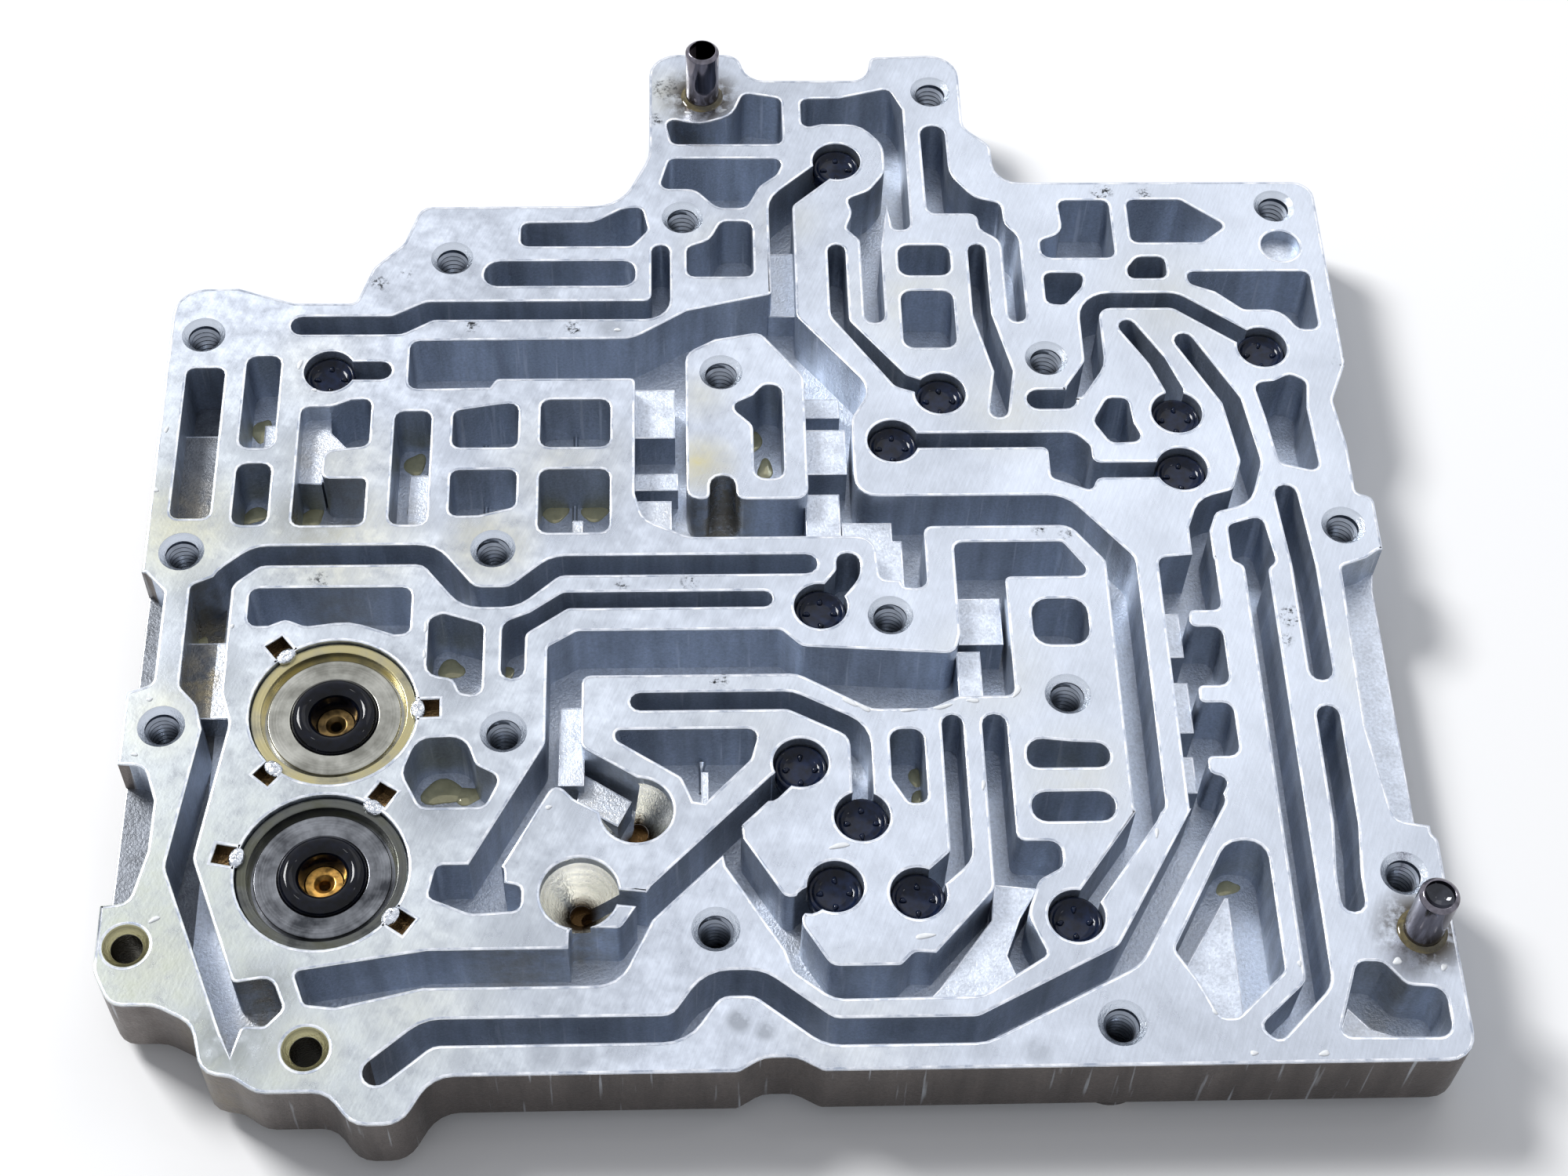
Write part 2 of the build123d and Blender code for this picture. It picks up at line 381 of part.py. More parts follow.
def box_face(low, high):
    """Plain rectangle between two points of the outlines."""
    return rounded([low, (high[0], low[1]), high, (low[0], high[1])], 0)


def sink(face, depth):
    """Cutter that goes from above the machined face down to a depth."""
    return extrude(Pos(0, 0, HEIGHT - depth) * face, amount=depth + SKIN, dir=(0, 0, 1))


def at_height(x, y, z):
    """Location of a point of the outlines at a height."""
    spot = place(x, y)
    return Pos(spot.X, spot.Y, z)


def turned(profile):
    """Solid turned about Z from half of its section, given as radius and height."""
    return revolve(make_face(Plane.XZ * Polyline(*profile, close=True)), Axis.Z, 360)


def chamfered_hole(radius, depth, chamfer_radius, chamfer_depth):
    """Cutter of a round hole with a countersunk mouth, its mouth at z = 0."""
    return turned([
        (0, SKIN), (chamfer_radius, SKIN), (chamfer_radius, 0), (radius, -chamfer_depth), (radius, -depth), (0, -depth),
    ])


def ball_seat(radius):
    """Cutter of a conical seat with a plain upper wall and a throat, its mouth at z = 0."""
    return turned([
        (0, SKIN), (radius, SKIN), (radius, -SEAT_WALL), (SEAT_THROAT_RADIUS, SEAT_THROAT_LENGTH - SEAT_DEPTH),
        (SEAT_THROAT_RADIUS, -SEAT_DEPTH), (0, -SEAT_DEPTH),
    ])


def upper_valley():
    """Cutter of the upper valley, which goes round its island."""
    return sink(rounded(UPPER_VALLEY) - rounded(UPPER_ISLAND), POCKET_DEPTH)


def channel_cuts():
    """Cutters of every pocket, valley and channel in the machined face."""
    cuts = [sink(rounded(outline), POCKET_DEPTH) for group in POCKETS.values() for outline in group]
    cuts += [sink(channel(points, width, bend), POCKET_DEPTH) for points, width, bend in CHANNELS]
    cuts += [sink(rounded(outline), POCKET_DEPTH) for outline in (ISLAND_SLOT, LOWER_VALLEY, EDGE_CHANNEL)]
    cuts += [upper_valley()]
    cuts += [sink(rounded(outline), LEDGE_DROP) for outline in LEDGES]
    return cuts


def round_cuts():
    """Cutters of the holes, seats and bores that are turned."""
    rim_thread = chamfered_hole(THREAD_RADIUS, RIM_THREAD_DEPTH, THREAD_CHAMFER_RADIUS, THREAD_CHAMFER_DEPTH)
    inner_thread = chamfered_hole(THREAD_RADIUS, POCKET_DEPTH, THREAD_CHAMFER_RADIUS, THREAD_CHAMFER_DEPTH)
    through = chamfered_hole(THROUGH_RADIUS, HEIGHT + SKIN, THROUGH_CHAMFER_RADIUS, THROUGH_CHAMFER_DEPTH)
    cuts = [at_height(x, y, HEIGHT) * rim_thread for x, y in RIM_THREADED_HOLES]
    cuts += [at_height(x, y, HEIGHT) * inner_thread for x, y in INNER_THREADED_HOLES]
    cuts += [at_height(x, y, HEIGHT) * through for x, y in THROUGH_HOLES]
    cuts += [at_height(x, y, HEIGHT) * ball_seat(radius) for x, y, radius in BALL_SEATS]
    upward = (Align.CENTER, Align.CENTER, Align.MIN)
    dimple = Cylinder(DIMPLE_RADIUS, DIMPLE_DEPTH + SKIN, align=upward)
    cuts += [at_height(*DIMPLE, HEIGHT - DIMPLE_DEPTH) * dimple]
    pocket = Cylinder(CHECK_POCKET_RADIUS, CHECK_SEAT_DEPTH + SKIN, align=upward)
    cuts += [at_height(x, y, HEIGHT - CHECK_SEAT_DEPTH) * pocket for x, y in CHECK_VALVES]
    bore_depth = DAMPER_RECESS + DAMPER_HEIGHT
    bore = Cylinder(DAMPER_BORE_RADIUS, bore_depth + SKIN, align=upward)
    cuts += [at_height(x, y, HEIGHT - bore_depth) * bore for x, y in DAMPERS.values()]
    pin_hole = Cylinder(PIN_SEAT_RADIUS, PIN_SEATED + SKIN, align=upward)
    cuts += [at_height(x, y, HEIGHT - PIN_SEATED) * pin_hole for x, y in DOWEL_PINS.values()]
    return cuts


def stake_notches():
    """Square notches that the punch left beside each damper, turned to face its middle."""
    notch = Box(STAKE_SIZE, STAKE_SIZE, STAKE_DEPTH + SKIN, align=(Align.CENTER, Align.CENTER, Align.MIN))
    cuts = []
    for name, spots in STAKES.items():
        for x, y in spots:
            middle = DAMPERS[name]
            turn = math.degrees(math.atan2(y - middle[1], x - middle[0]))
            cuts.append(at_height(x, y, HEIGHT - STAKE_DEPTH) * Rot(0, 0, turn) * notch)
    return cuts


def raised_floors():
    """Solids of the lands and shelves that stand on the pocket floors."""
    lands = [(box_face(low, high), drop) for low, high, drop in LANDS]
    lands += [(rounded(outline, 0), drop) for outline, drop in SHELVES]
    base = HEIGHT - POCKET_DEPTH - SKIN
    return [extrude(Pos(0, 0, base) * face, amount=HEIGHT - drop - base, dir=(0, 0, 1)) for face, drop in lands]


def channel_casting():
    """The casting: its rim, bosses, pockets, lands, holes and bores in one piece."""
    body = extrude(Pos(0, 0, UNDERSIDE) * rounded(OUTLINE), amount=BODY_DEPTH, dir=(0, 0, 1))
    boss = Cylinder(BOSS_RADIUS, UNDERSIDE + SKIN, align=(Align.CENTER, Align.CENTER, Align.MIN))
    bosses = [at_height(x, y, 0) * boss for x, y in RIM_THREADED_HOLES]
    body = body.fuse(*bosses)
    body = body.cut(*channel_cuts())
    body = body.fuse(*raised_floors())
    body = body.cut(*round_cuts(), *stake_notches())
    return body


def check_valve():
    """Disc of a check valve: a thin rim, a dished recess and four tapered pads in it. Its seat is at z = 0."""
    rim = CHECK_THICKNESS
    recess = CHECK_THICKNESS - CHECK_RECESS_DEPTH
    disc = turned([
        (0, 0), (CHECK_RADIUS, 0), (CHECK_RADIUS, rim), (CHECK_RIM_INNER_RADIUS, rim), (CHECK_RECESS_RADIUS, recess),
        (0, recess),
    ])
    pad = extrude(Rectangle(CHECK_PAD_LENGTH, CHECK_PAD_WIDTH), amount=CHECK_PAD_HEIGHT, taper=CHECK_PAD_TAPER)
    pads = [Rot(0, 0, turn) * Pos(CHECK_PAD_REACH, 0, recess) * pad for turn in (0, 90, 180, 270)]
    return disc.fuse(*pads)


def dowel_pin():
    """Hollow dowel pin with a chamfered nose and a wider seated end. The machined face crosses it at z = 0."""
    top = PIN_EXPOSED
    return turned([
        (0, -PIN_SEATED), (PIN_SEAT_RADIUS, -PIN_SEATED), (PIN_SEAT_RADIUS, 0), (PIN_RADIUS, 0),
        (PIN_RADIUS, top - PIN_NOSE), (PIN_RADIUS - PIN_NOSE, top),
        (PIN_BORE_RADIUS, top), (PIN_BORE_RADIUS, top - PIN_BORE_DEPTH), (0, top - PIN_BORE_DEPTH),
    ])


def damper_cup():
    """Steel cup of a damper: a staked rim, a groove and a flat face round the seal. Its foot is at z = 0."""
    rim = DAMPER_HEIGHT
    face = DAMPER_HEIGHT - DAMPER_FACE_DROP
    groove = DAMPER_HEIGHT - DAMPER_GROOVE_DEPTH
    return turned([
        (JET_BORE_RADIUS, 0), (DAMPER_RADIUS, 0), (DAMPER_RADIUS, rim), (DAMPER_RIM_INNER_RADIUS, rim),
        (DAMPER_RIM_INNER_RADIUS, groove), (DAMPER_GROOVE_INNER_RADIUS, groove), (DAMPER_GROOVE_INNER_RADIUS, face),
        (SEAL_RADIUS, face), (SEAL_RADIUS, DAMPER_BASE), (JET_BORE_RADIUS, DAMPER_BASE),
    ])


def damper_seal():
    """Rubber ring seal with a crown that is half a ring in section, and a funnel mouth, standing in the cup."""
    shoulder = DAMPER_HEIGHT - SEAL_SHOULDER_DROP
    crown = (SEAL_RADIUS - SEAL_MOUTH_RADIUS) / 2
    turns = [math.radians(turn) for turn in range(0, 181, SEAL_CROWN_STEP)]
    arc = [(SEAL_RADIUS - crown + crown * math.cos(turn), shoulder + crown * math.sin(turn)) for turn in turns]
    return turned([
        (SEAL_THROAT_RADIUS, DAMPER_BASE), (SEAL_RADIUS, DAMPER_BASE), *arc,
        (SEAL_THROAT_RADIUS, DAMPER_BASE + JET_HEIGHT),
    ])


def damper_jet():
    """Brass jet in the throat of the seal, with a countersunk bore."""
    top = DAMPER_BASE + JET_HEIGHT
    return turned([
        (JET_BORE_RADIUS, DAMPER_BASE), (SEAL_THROAT_RADIUS, DAMPER_BASE), (SEAL_THROAT_RADIUS, top),
        (JET_CONE_RADIUS, top), (JET_BORE_RADIUS, top - (JET_CONE_RADIUS - JET_BORE_RADIUS)),
    ])


def build_parts():
    """Every node of the part by its name, each in its place."""
    parts = {"channel_casting": channel_casting()}
    for index, (x, y) in enumerate(CHECK_VALVES):
        parts[f"check_valve_{index + 1:02d}"] = at_height(x, y, HEIGHT - CHECK_SEAT_DEPTH) * check_valve()
    for name, (x, y) in DOWEL_PINS.items():
        parts[f"dowel_pin_{name}"] = at_height(x, y, HEIGHT) * dowel_pin()
    for name, (x, y) in DAMPERS.items():
        seat = at_height(x, y, HEIGHT - DAMPER_RECESS - DAMPER_HEIGHT)
        parts[f"damper_cup_{name}"] = seat * damper_cup()
        parts[f"damper_seal_{name}"] = seat * damper_seal()
        parts[f"damper_jet_{name}"] = seat * damper_jet()
    return parts


os.makedirs("parts", exist_ok=True)
for node, solid in build_parts().items():
    export_step(solid, f"parts/{node}.step")
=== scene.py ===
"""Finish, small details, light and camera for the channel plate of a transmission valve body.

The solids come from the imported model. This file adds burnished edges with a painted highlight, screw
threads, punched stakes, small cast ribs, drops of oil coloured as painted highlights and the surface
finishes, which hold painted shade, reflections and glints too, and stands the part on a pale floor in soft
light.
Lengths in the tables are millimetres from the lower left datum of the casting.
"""

import math

import bmesh
import bpy
import numpy as np
from bpy.props import FloatProperty, FloatVectorProperty, PointerProperty
from mathutils import Matrix, Vector


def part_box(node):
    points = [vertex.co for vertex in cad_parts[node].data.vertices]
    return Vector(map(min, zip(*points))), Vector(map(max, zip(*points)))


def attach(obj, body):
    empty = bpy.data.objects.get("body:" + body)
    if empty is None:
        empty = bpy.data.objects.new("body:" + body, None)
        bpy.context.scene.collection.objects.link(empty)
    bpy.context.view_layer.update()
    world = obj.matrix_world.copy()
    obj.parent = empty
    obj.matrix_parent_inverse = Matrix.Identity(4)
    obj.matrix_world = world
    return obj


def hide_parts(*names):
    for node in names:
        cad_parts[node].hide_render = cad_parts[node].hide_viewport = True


bl_info = {
    "name": "Valve body channel plate",
    "version": (1, 0, 0),
    "blender": (4, 5, 0),
    "location": "3D View > Sidebar > Valve Body",
    "description": "Finishes, small details and studio for the channel plate of a transmission valve body",
    "category": "Object",
}

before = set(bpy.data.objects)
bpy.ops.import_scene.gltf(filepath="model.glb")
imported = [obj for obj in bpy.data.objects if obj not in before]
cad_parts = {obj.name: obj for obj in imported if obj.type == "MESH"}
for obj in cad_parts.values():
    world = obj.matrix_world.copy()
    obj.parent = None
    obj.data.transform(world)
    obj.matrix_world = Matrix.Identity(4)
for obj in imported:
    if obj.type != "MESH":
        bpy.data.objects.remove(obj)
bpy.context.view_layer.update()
BODY = "channel_plate"

# The middle of the plate, measured from the datum, and the height of the milled face.
MIDDLE = (94.05, 97.8)
FACE = 16.0
# What lies on the common floor starts a little under its skin, so that no gap shows.
FLOOR = 5.4
# The walls that carry the dull outer skin: front, left, and the cut corner as the sum of x and y.
FRONT_WALL = 10.3
LEFT_WALL = 2.4
CUT_CORNER = 36
# Floors left of this are darkened: dull oily skin, and painted shade of the left side.
DULL_SHADED_FLOOR = 12.0
# Distances from the middle of a round feature: where its finish starts and where it is full.
CONE = (3.6, 3.53)
THROAT = (2.6, 1.56)
NOTCH = (2.6, 2.2)
PLAIN_RING = (3.5, 3.33)
# A screw hole's wall is coloured dark as painted shade within this distance, and below this depth under the
# face.
BORE_REACH = 2.65
BORE_DEPTH = 0.95
# Depth under the face at which a plain hole turns from its countersink to its bore.
PLAIN_DEPTH = 1.05
# Edges below this height carry no burnished line with its painted highlight.
LOWEST_EDGE = 7.5

SCREW_HOLES = [
    (5.9, 133.6, 12.1), (44.3, 149.2, 12.1), (123.8, 185.7, 12.1), (179.4, 159.8, 12.1),
    (181.7, 95.5, 12.1), (181.7, 36.1, 12.1), (139.8, 14.1, 12.1), (6.3, 62.1, 12.1), (6.3, 92.3, 12.1),
    (81.5, 157.7, 9.6), (87.3, 125.6, 9.6), (138.9, 128.1, 9.6), (52.6, 92.4, 9.6), (111.7, 79.9, 9.6),
    (55.1, 60.6, 9.6), (136.9, 66.0, 9.6), (85.1, 28.9, 9.6),
]
THROUGH_HOLES = [(4.9, 27.6), (30.2, 12.1)]
PINS = {"rear": (85.0, 184.6), "front": (182.8, 27.2)}
BALL_SEATS = [(74.2, 47.6, 5.2), (66.3, 34.7, 5.5)]
DAMPERS = {"rear": (30.6, 64.3), "front": (30.6, 38.6)}
# Distances from the middle of a damper: its punched stakes, and where the oily rim of its cup starts.
STAKE_REACH = 12.1
CUP_RIM = 10.0
STAKES = {
    "rear": [(22.1, 75.2), (44.3, 64.7), (22.0, 54.2)],
    "front": [(17.0, 41.3), (38.4, 50.6), (41.9, 30.7)],
}

# Marks on the milled face: x, y, radius, strength.
PITS = [
    (27, 87, 2.0, 0.55), (72, 86, 1.4, 0.7), (82, 86, 1.6, 0.8), (86, 69, 1.8, 0.95),
    (48, 135, 1.6, 0.9), (64, 134.6, 1.8, 0.9), (135, 95, 1.3, 0.8), (139, 94, 1.5, 0.7),
    (171.5, 79, 2.2, 0.9), (170, 75, 1.6, 0.6), (151, 163, 2.2, 0.9), (158, 162.6, 1.8, 0.8),
    (186, 127, 1.8, 0.9), (79, 186.5, 3.2, 0.55), (77.2, 179.5, 1.6, 0.8), (33, 144, 1.8, 0.7),
    (37, 146, 1.2, 0.5),
]
STAINS = [
    (62, 11.2, 3.2, 0.5), (67, 10.4, 2.6, 0.5), (73, 11.6, 2.8, 0.5), (88, 15.2, 2.4, 0.6),
    (91.5, 13.8, 2.0, 0.55), (51, 10.6, 2.2, 0.4), (128, 10.4, 2.6, 0.35), (120.4, 10.6, 1.8, 0.3),
    (158, 60, 2.4, 0.25), (140, 98, 3.0, 0.25), (108, 37, 3.0, 0.2), (145, 36, 3.4, 0.2),
    (126, 69, 2.6, 0.3), (100, 84, 2.4, 0.25), (59, 137.4, 3.4, 0.3), (70, 134.6, 2.6, 0.45),
]
OIL_FILMS = [
    (6, 97, 13.0, 0.75), (30, 94, 16.0, 0.6), (52, 93, 9.0, 0.75), (84, 108, 6.5, 0.9),
    (84, 121, 6.0, 0.35), (6, 64, 9.0, 0.5), (8, 25, 9.0, 0.45), (30.2, 12.1, 6.5, 0.5),
    (118, 140, 14.0, 0.3), (133, 118, 12.0, 0.3), (24, 128, 11.0, 0.25), (125, 70, 12.0, 0.25),
    (137, 52, 11.0, 0.3), (87, 151, 8.0, 0.3), (99, 157, 7.0, 0.25), (30, 108, 12.0, 0.3),
    (62, 108, 14.0, 0.3), (45, 20, 14.0, 0.25), (160, 140, 14.0, 0.22), (184, 70, 10.0, 0.3),
    (79, 185, 8.0, 0.4), (104, 14, 14.0, 0.2), (90, 60, 16.0, 0.12),
]
# Where the face is darker, part tarnish and part painted shade of the lower left: x, y, radius, strength.
DULL_SHADED_FACE = [(0, 26, 74.0, 1.0), (14, 2, 62.0, 0.9), (2, 96, 44.0, 0.6), (40, 60, 50.0, 0.3)]
# Brown oil that stands in the pockets: x, y, radius, strength.
FLOOR_OIL = [
    (25, 99, 8.0, 0.9), (30, 101, 6.0, 0.7), (24, 112, 7.0, 0.35), (62, 97, 5.0, 0.8),
    (68, 97, 5.0, 0.8), (64, 112, 6.0, 0.4), (48, 99, 6.0, 0.5), (47, 112, 6.0, 0.35),
    (48, 69, 6.0, 0.9), (46, 49.5, 7.0, 0.9), (51, 50, 5.0, 0.6), (11, 72, 9.0, 0.7), (10, 84, 7.0, 0.6),
    (16, 98, 6.0, 0.5), (15, 113, 6.0, 0.4), (87.3, 103, 5.5, 1.0), (82, 100, 8.0, 0.4),
    (20, 14, 9.0, 0.7), (24, 20, 7.0, 0.7), (58, 24, 10.0, 0.4), (30, 82, 8.0, 0.4), (6, 104, 8.0, 0.35),
    (40, 100, 7.0, 0.45), (66, 33, 8.0, 0.6), (112, 170, 10.0, 0.35), (83, 181, 6.0, 0.5),
    (176, 16, 8.0, 0.4), (68, 50, 8.0, 0.45),
]

# Old oil in drops, on the face and on the floor, coloured pale as painted highlights: x, y, half length, half
# width, thickness, turn in degrees.
CLEAR_OIL_DROP_HIGHLIGHTS = [
    (21.4, 127.6, 1.0, 0.35, 0.2, 80), (24.0, 122.5, 0.5, 0.25, 0.2, 160),
    (1.4, 103.6, 0.5, 0.4, 0.2, 0), (1.9, 115.0, 0.6, 0.3, 0.2, 80), (43.2, 78.5, 1.1, 0.25, 0.2, 90),
    (43.2, 73.8, 0.8, 0.25, 0.2, 90), (15.0, 79.0, 0.4, 0.25, 0.2, 80), (61.8, 48.2, 0.5, 0.35, 0.2, 0),
    (105.0, 65.0, 1.3, 0.4, 0.22, 150), (107.0, 64.0, 1.2, 0.4, 0.22, 150),
    (113.5, 63.5, 1.2, 0.3, 0.2, 5), (118.5, 64.0, 1.4, 0.35, 0.2, 15), (123.0, 65.0, 1.0, 0.35, 0.2, 0),
    (129.5, 66.5, 1.2, 0.4, 0.22, 60), (102.6, 41.5, 1.6, 0.4, 0.22, 10),
    (123.5, 51.0, 0.8, 0.3, 0.2, 85), (113.8, 27.4, 1.5, 0.4, 0.22, 10),
    (147.5, 43.0, 0.8, 0.3, 0.2, 80), (166.6, 9.2, 0.8, 0.4, 0.2, 15), (157.1, 9.4, 0.6, 0.35, 0.2, 0),
    (178.6, 22.6, 0.7, 0.5, 0.22, 20), (184.9, 21.6, 0.6, 0.4, 0.2, 60),
    (165.0, 22.5, 0.5, 0.3, 0.2, 85), (152.5, 15.5, 0.6, 0.25, 0.2, 120),
    (88.4, 181.4, 0.7, 0.35, 0.2, 20), (82.6, 180.9, 0.6, 0.3, 0.2, 160), (4.2, 66.6, 0.5, 0.3, 0.2, 0),
    (8.4, 31.5, 0.8, 0.4, 0.2, 30), (3.0, 57.5, 0.5, 0.3, 0.2, 0), (71.0, 134.2, 0.6, 0.3, 0.2, 0),
]
FLOOR_OIL_DROP_HIGHLIGHTS = [
    (14.5, 122.4, 2.2, 1.2, 0.7, 80), (14.7, 106.0, 1.9, 1.3, 0.8, 20), (23.4, 105.5, 2.0, 1.5, 0.8, 30),
    (39.1, 115.6, 2.0, 1.4, 0.7, 80), (39.6, 106.4, 2.6, 1.2, 0.7, 90), (61.2, 106.2, 1.8, 1.7, 0.9, 0),
    (67.4, 106.1, 1.8, 1.5, 0.9, 0), (46.2, 77.6, 1.8, 1.5, 0.8, 20), (54.3, 77.0, 1.3, 1.0, 0.6, 0),
    (45.8, 56.6, 2.6, 2.0, 1.0, 10), (49.4, 56.0, 1.8, 1.4, 0.8, 0), (8.6, 81.0, 2.6, 0.9, 0.6, 85),
    (92.6, 119.6, 1.8, 1.1, 0.7, 80), (94.2, 114.2, 1.8, 1.1, 0.7, 90), (115.2, 58.4, 1.6, 1.1, 0.6, 80),
    (115.4, 54.4, 1.6, 1.2, 0.7, 40), (136.4, 62.6, 2.2, 1.2, 0.6, 0), (137.5, 55.3, 2.0, 1.1, 0.6, 0),
    (158.8, 39.4, 1.6, 1.0, 0.6, 20), (171.2, 18.0, 1.8, 1.4, 0.7, 140), (175.6, 15.6, 1.6, 1.2, 0.6, 0),
    (160.4, 19.4, 2.0, 1.0, 0.6, 30),
]
# Ribs that the die's ejectors left on the floors: x, y of the head, length to the front, height.
EJECTOR_RIBS = [
    (50.1, 120.1, 2.4, 1.2), (50.5, 107.2, 2.2, 1.2), (64.3, 121.1, 3.4, 1.4), (64.3, 107.8, 4.4, 1.6),
    (83.5, 61.1, 6.0, 1.4),
]


def place(x, y, z=FACE):
    """A point of the tables in the frame of the part, in metres."""
    return Vector(((x - MIDDLE[0]) / 1000, (y - MIDDLE[1]) / 1000, z / 1000))


def linear(text):
    """A colour written as sRGB hex, as the linear values that shaders take, with alpha 1."""
    values = [int(text[i:i + 2], 16) / 255 for i in (1, 3, 5)]
    return (*[v / 12.92 if v <= 0.04045 else ((v + 0.055) / 1.055) ** 2.4 for v in values], 1.0)


def colour(name, about, text):
    """A colour that a user can change."""
    return FloatVectorProperty(
        name=name, description=about, subtype="COLOR", size=4, min=0, max=1, default=linear(text))


def length(name, about, metres):
    """A length that a user can change."""
    return FloatProperty(
        name=name, description=about, subtype="DISTANCE", unit="LENGTH", default=metres, min=0, precision=5)


class CastingLook(bpy.types.PropertyGroup):
    milled: colour("Milled face", "Milled aluminium of the channel face", "#bac0ca")
    cast: colour("Cast floor", "As-cast aluminium on the floors of the channels", "#c8ced8")
    # The wall colour is a darker copy of the floors' as-cast aluminium: painted shade.
    wall: colour("Cast wall", "As-cast aluminium on the walls of the channels", "#a4aebd")
    rim: colour("Outer wall", "Dull oily skin on the outside of the casting", "#625c59")
    oil: colour("Oil film", "Thin film of old oil on the milled face", "#b5ad84")
    brown: colour("Standing oil", "Brown oil on the floors of the pockets", "#80755a")
    cone: colour("Countersink", "Bright cut metal of the countersinks and seats", "#d3d9e1")
    pit: colour("Pit", "Dark pits and residue", "#1d1f22")
    stain: colour("Stain", "Grey stains of dried oil", "#8b9098")
    # Clear drops are coloured near white: a painted highlight on clear oil.
    drop: colour("Clear drop", "Clear drops of oil on the milled face", "#eef1f4")
    # The drops in the pockets are coloured pale yellow: a painted highlight on brown oil.
    floor_drop_highlight: colour("Brown drop", "Drops of brown oil in the pockets", "#cfc89c")
    edge_width: length("Edge width", "Width of the burnished edge round each channel", 0.00042)


class ScrewLook(bpy.types.PropertyGroup):
    radius: length("Hole radius", "Wall of a screw hole", 0.0025)
    pitch: length("Pitch", "Rise of the thread in one turn", 0.001)
    depth: length("Thread depth", "Height of the thread's ridge", 0.0004)
    metal: colour("Thread", "Cut aluminium thread", "#a3aab5")


class DamperLook(bpy.types.PropertyGroup):
    rear_cup: colour("Rear cup", "Turned steel of the rear damper, warm with oil", "#b4b3aa")
    front_cup: colour("Front cup", "Turned steel of the front damper", "#85878b")
    seal: colour("Seal", "Black rubber seal", "#06070c")
    rear_jet: colour("Rear jet", "Brown brass of the rear jet", "#6f5a36")
    front_jet: colour("Front jet", "Clean brass of the front jet", "#d0a054")
    stake_size: length("Stake size", "Width of the metal that the punch moved over each cup", 0.0026)


class SmallPartLook(bpy.types.PropertyGroup):
    disc: colour("Check disc", "Black moulded disc of a check valve", "#0a101f")
    pin: colour("Locating pin", "Ground steel of a locating pin", "#7d7981")


class StudioLook(bpy.types.PropertyGroup):
    floor: colour("Floor", "Pale floor", "#f7f7f7")
    key: FloatProperty(name="Key light", description="Strength of the large lamp", default=3.0, min=0)
    fill: FloatProperty(
        name="Fill", description="Strength of the surroundings on matt surfaces", default=0.37, min=0)
    lens: FloatProperty(name="Lens", description="Focal length on a 36 mm sensor", default=61.9, min=10)
    spot: FloatVectorProperty(
        name="Camera place", description="Where the camera stands", subtype="TRANSLATION", unit="LENGTH",
        default=(-0.01365, -0.23381, 0.351))
    turn: FloatVectorProperty(
        name="Camera turn", description="Pitch from straight down, roll and yaw of the camera",
        subtype="EULER", unit="ROTATION", default=(0.590151, 0.051725, 0.072167))
    shift: FloatVectorProperty(
        name="Camera shift", description="Shift of the frame", size=2, default=(-0.0019, -0.0104))


def add(tree, kind, inputs=None, **settings):
    """Adds a node. Inputs map a socket's name or number to a value or to another node's socket."""
    node = tree.nodes.new("ShaderNode" + kind)
    for key, value in settings.items():
        setattr(node, key, value)
    for key, value in (inputs or {}).items():
        if isinstance(value, bpy.types.NodeSocket):
            tree.links.new(value, node.inputs[key])
        else:
            node.inputs[key].default_value = value
    return node


def material(name):
    """A new node material with its principled shader and its Object coordinates in millimetres."""
    made = bpy.data.materials.new(name)
    made.use_nodes = True
    tree = made.node_tree
    shader = tree.nodes["Principled BSDF"]
    coords = add(tree, "TexCoord")
    scaled = add(tree, "Mapping", {"Vector": coords.outputs["Object"], "Scale": (1000, 1000, 1000)})
    return made, tree, shader, scaled.outputs["Vector"]


def tune(shader, metallic, roughness):
    """Sets how metallic and how rough a finish is."""
    shader.inputs["Metallic"].default_value = metallic
    shader.inputs["Roughness"].default_value = roughness


def dress(piece, finish):
    """Gives a piece this material in place of any it has."""
    piece.data.materials.clear()
    piece.data.materials.append(finish)


def maths(tree, operation, first, second):
    """A value worked out from two others."""
    return add(tree, "Math", {0: first, 1: second}, operation=operation).outputs[0]


def product(tree, first, second):
    """Product of two values."""
    return maths(tree, "MULTIPLY", first, second)


def larger(tree, first, second):
    """The larger of two values."""
    return maths(tree, "MAXIMUM", first, second)


def ramp(tree, value, low, high, least=0.0, most=1.0):
    """Value that runs from least to most while another runs from low to high."""
    return add(tree, "MapRange", {
        "Value": value, "From Min": low, "From Max": high, "To Min": least, "To Max": most,
    }).outputs[0]


def noise(tree, point, scale, detail=4.0, roughness=0.6):
    """Noise with a number of features in a millimetre."""
    return add(tree, "TexNoise", {
        "Vector": point, "Scale": scale, "Detail": detail, "Roughness": roughness,
    }).outputs["Fac"]


def ring_noise(tree, away, scale, detail):
    """Noise that follows a distance only, as the marks of turning do."""
    inputs = {"W": away, "Scale": scale, "Detail": detail}
    return add(tree, "TexNoise", inputs, noise_dimensions="1D").outputs["Fac"]


def distance(tree, point, x, y):
    """Distance to a place on the face."""
    ends = {0: point, 1: tuple(place(x, y) * 1000)}
    return add(tree, "VectorMath", ends, operation="DISTANCE").outputs["Value"]


def nearest(tree, point, centres):
    """Distance to the nearest of some places on the face."""
    least = None
    for x, y, *_ in centres:
        away = distance(tree, point, x, y)
        least = away if least is None else maths(tree, "MINIMUM", least, away)
    return least


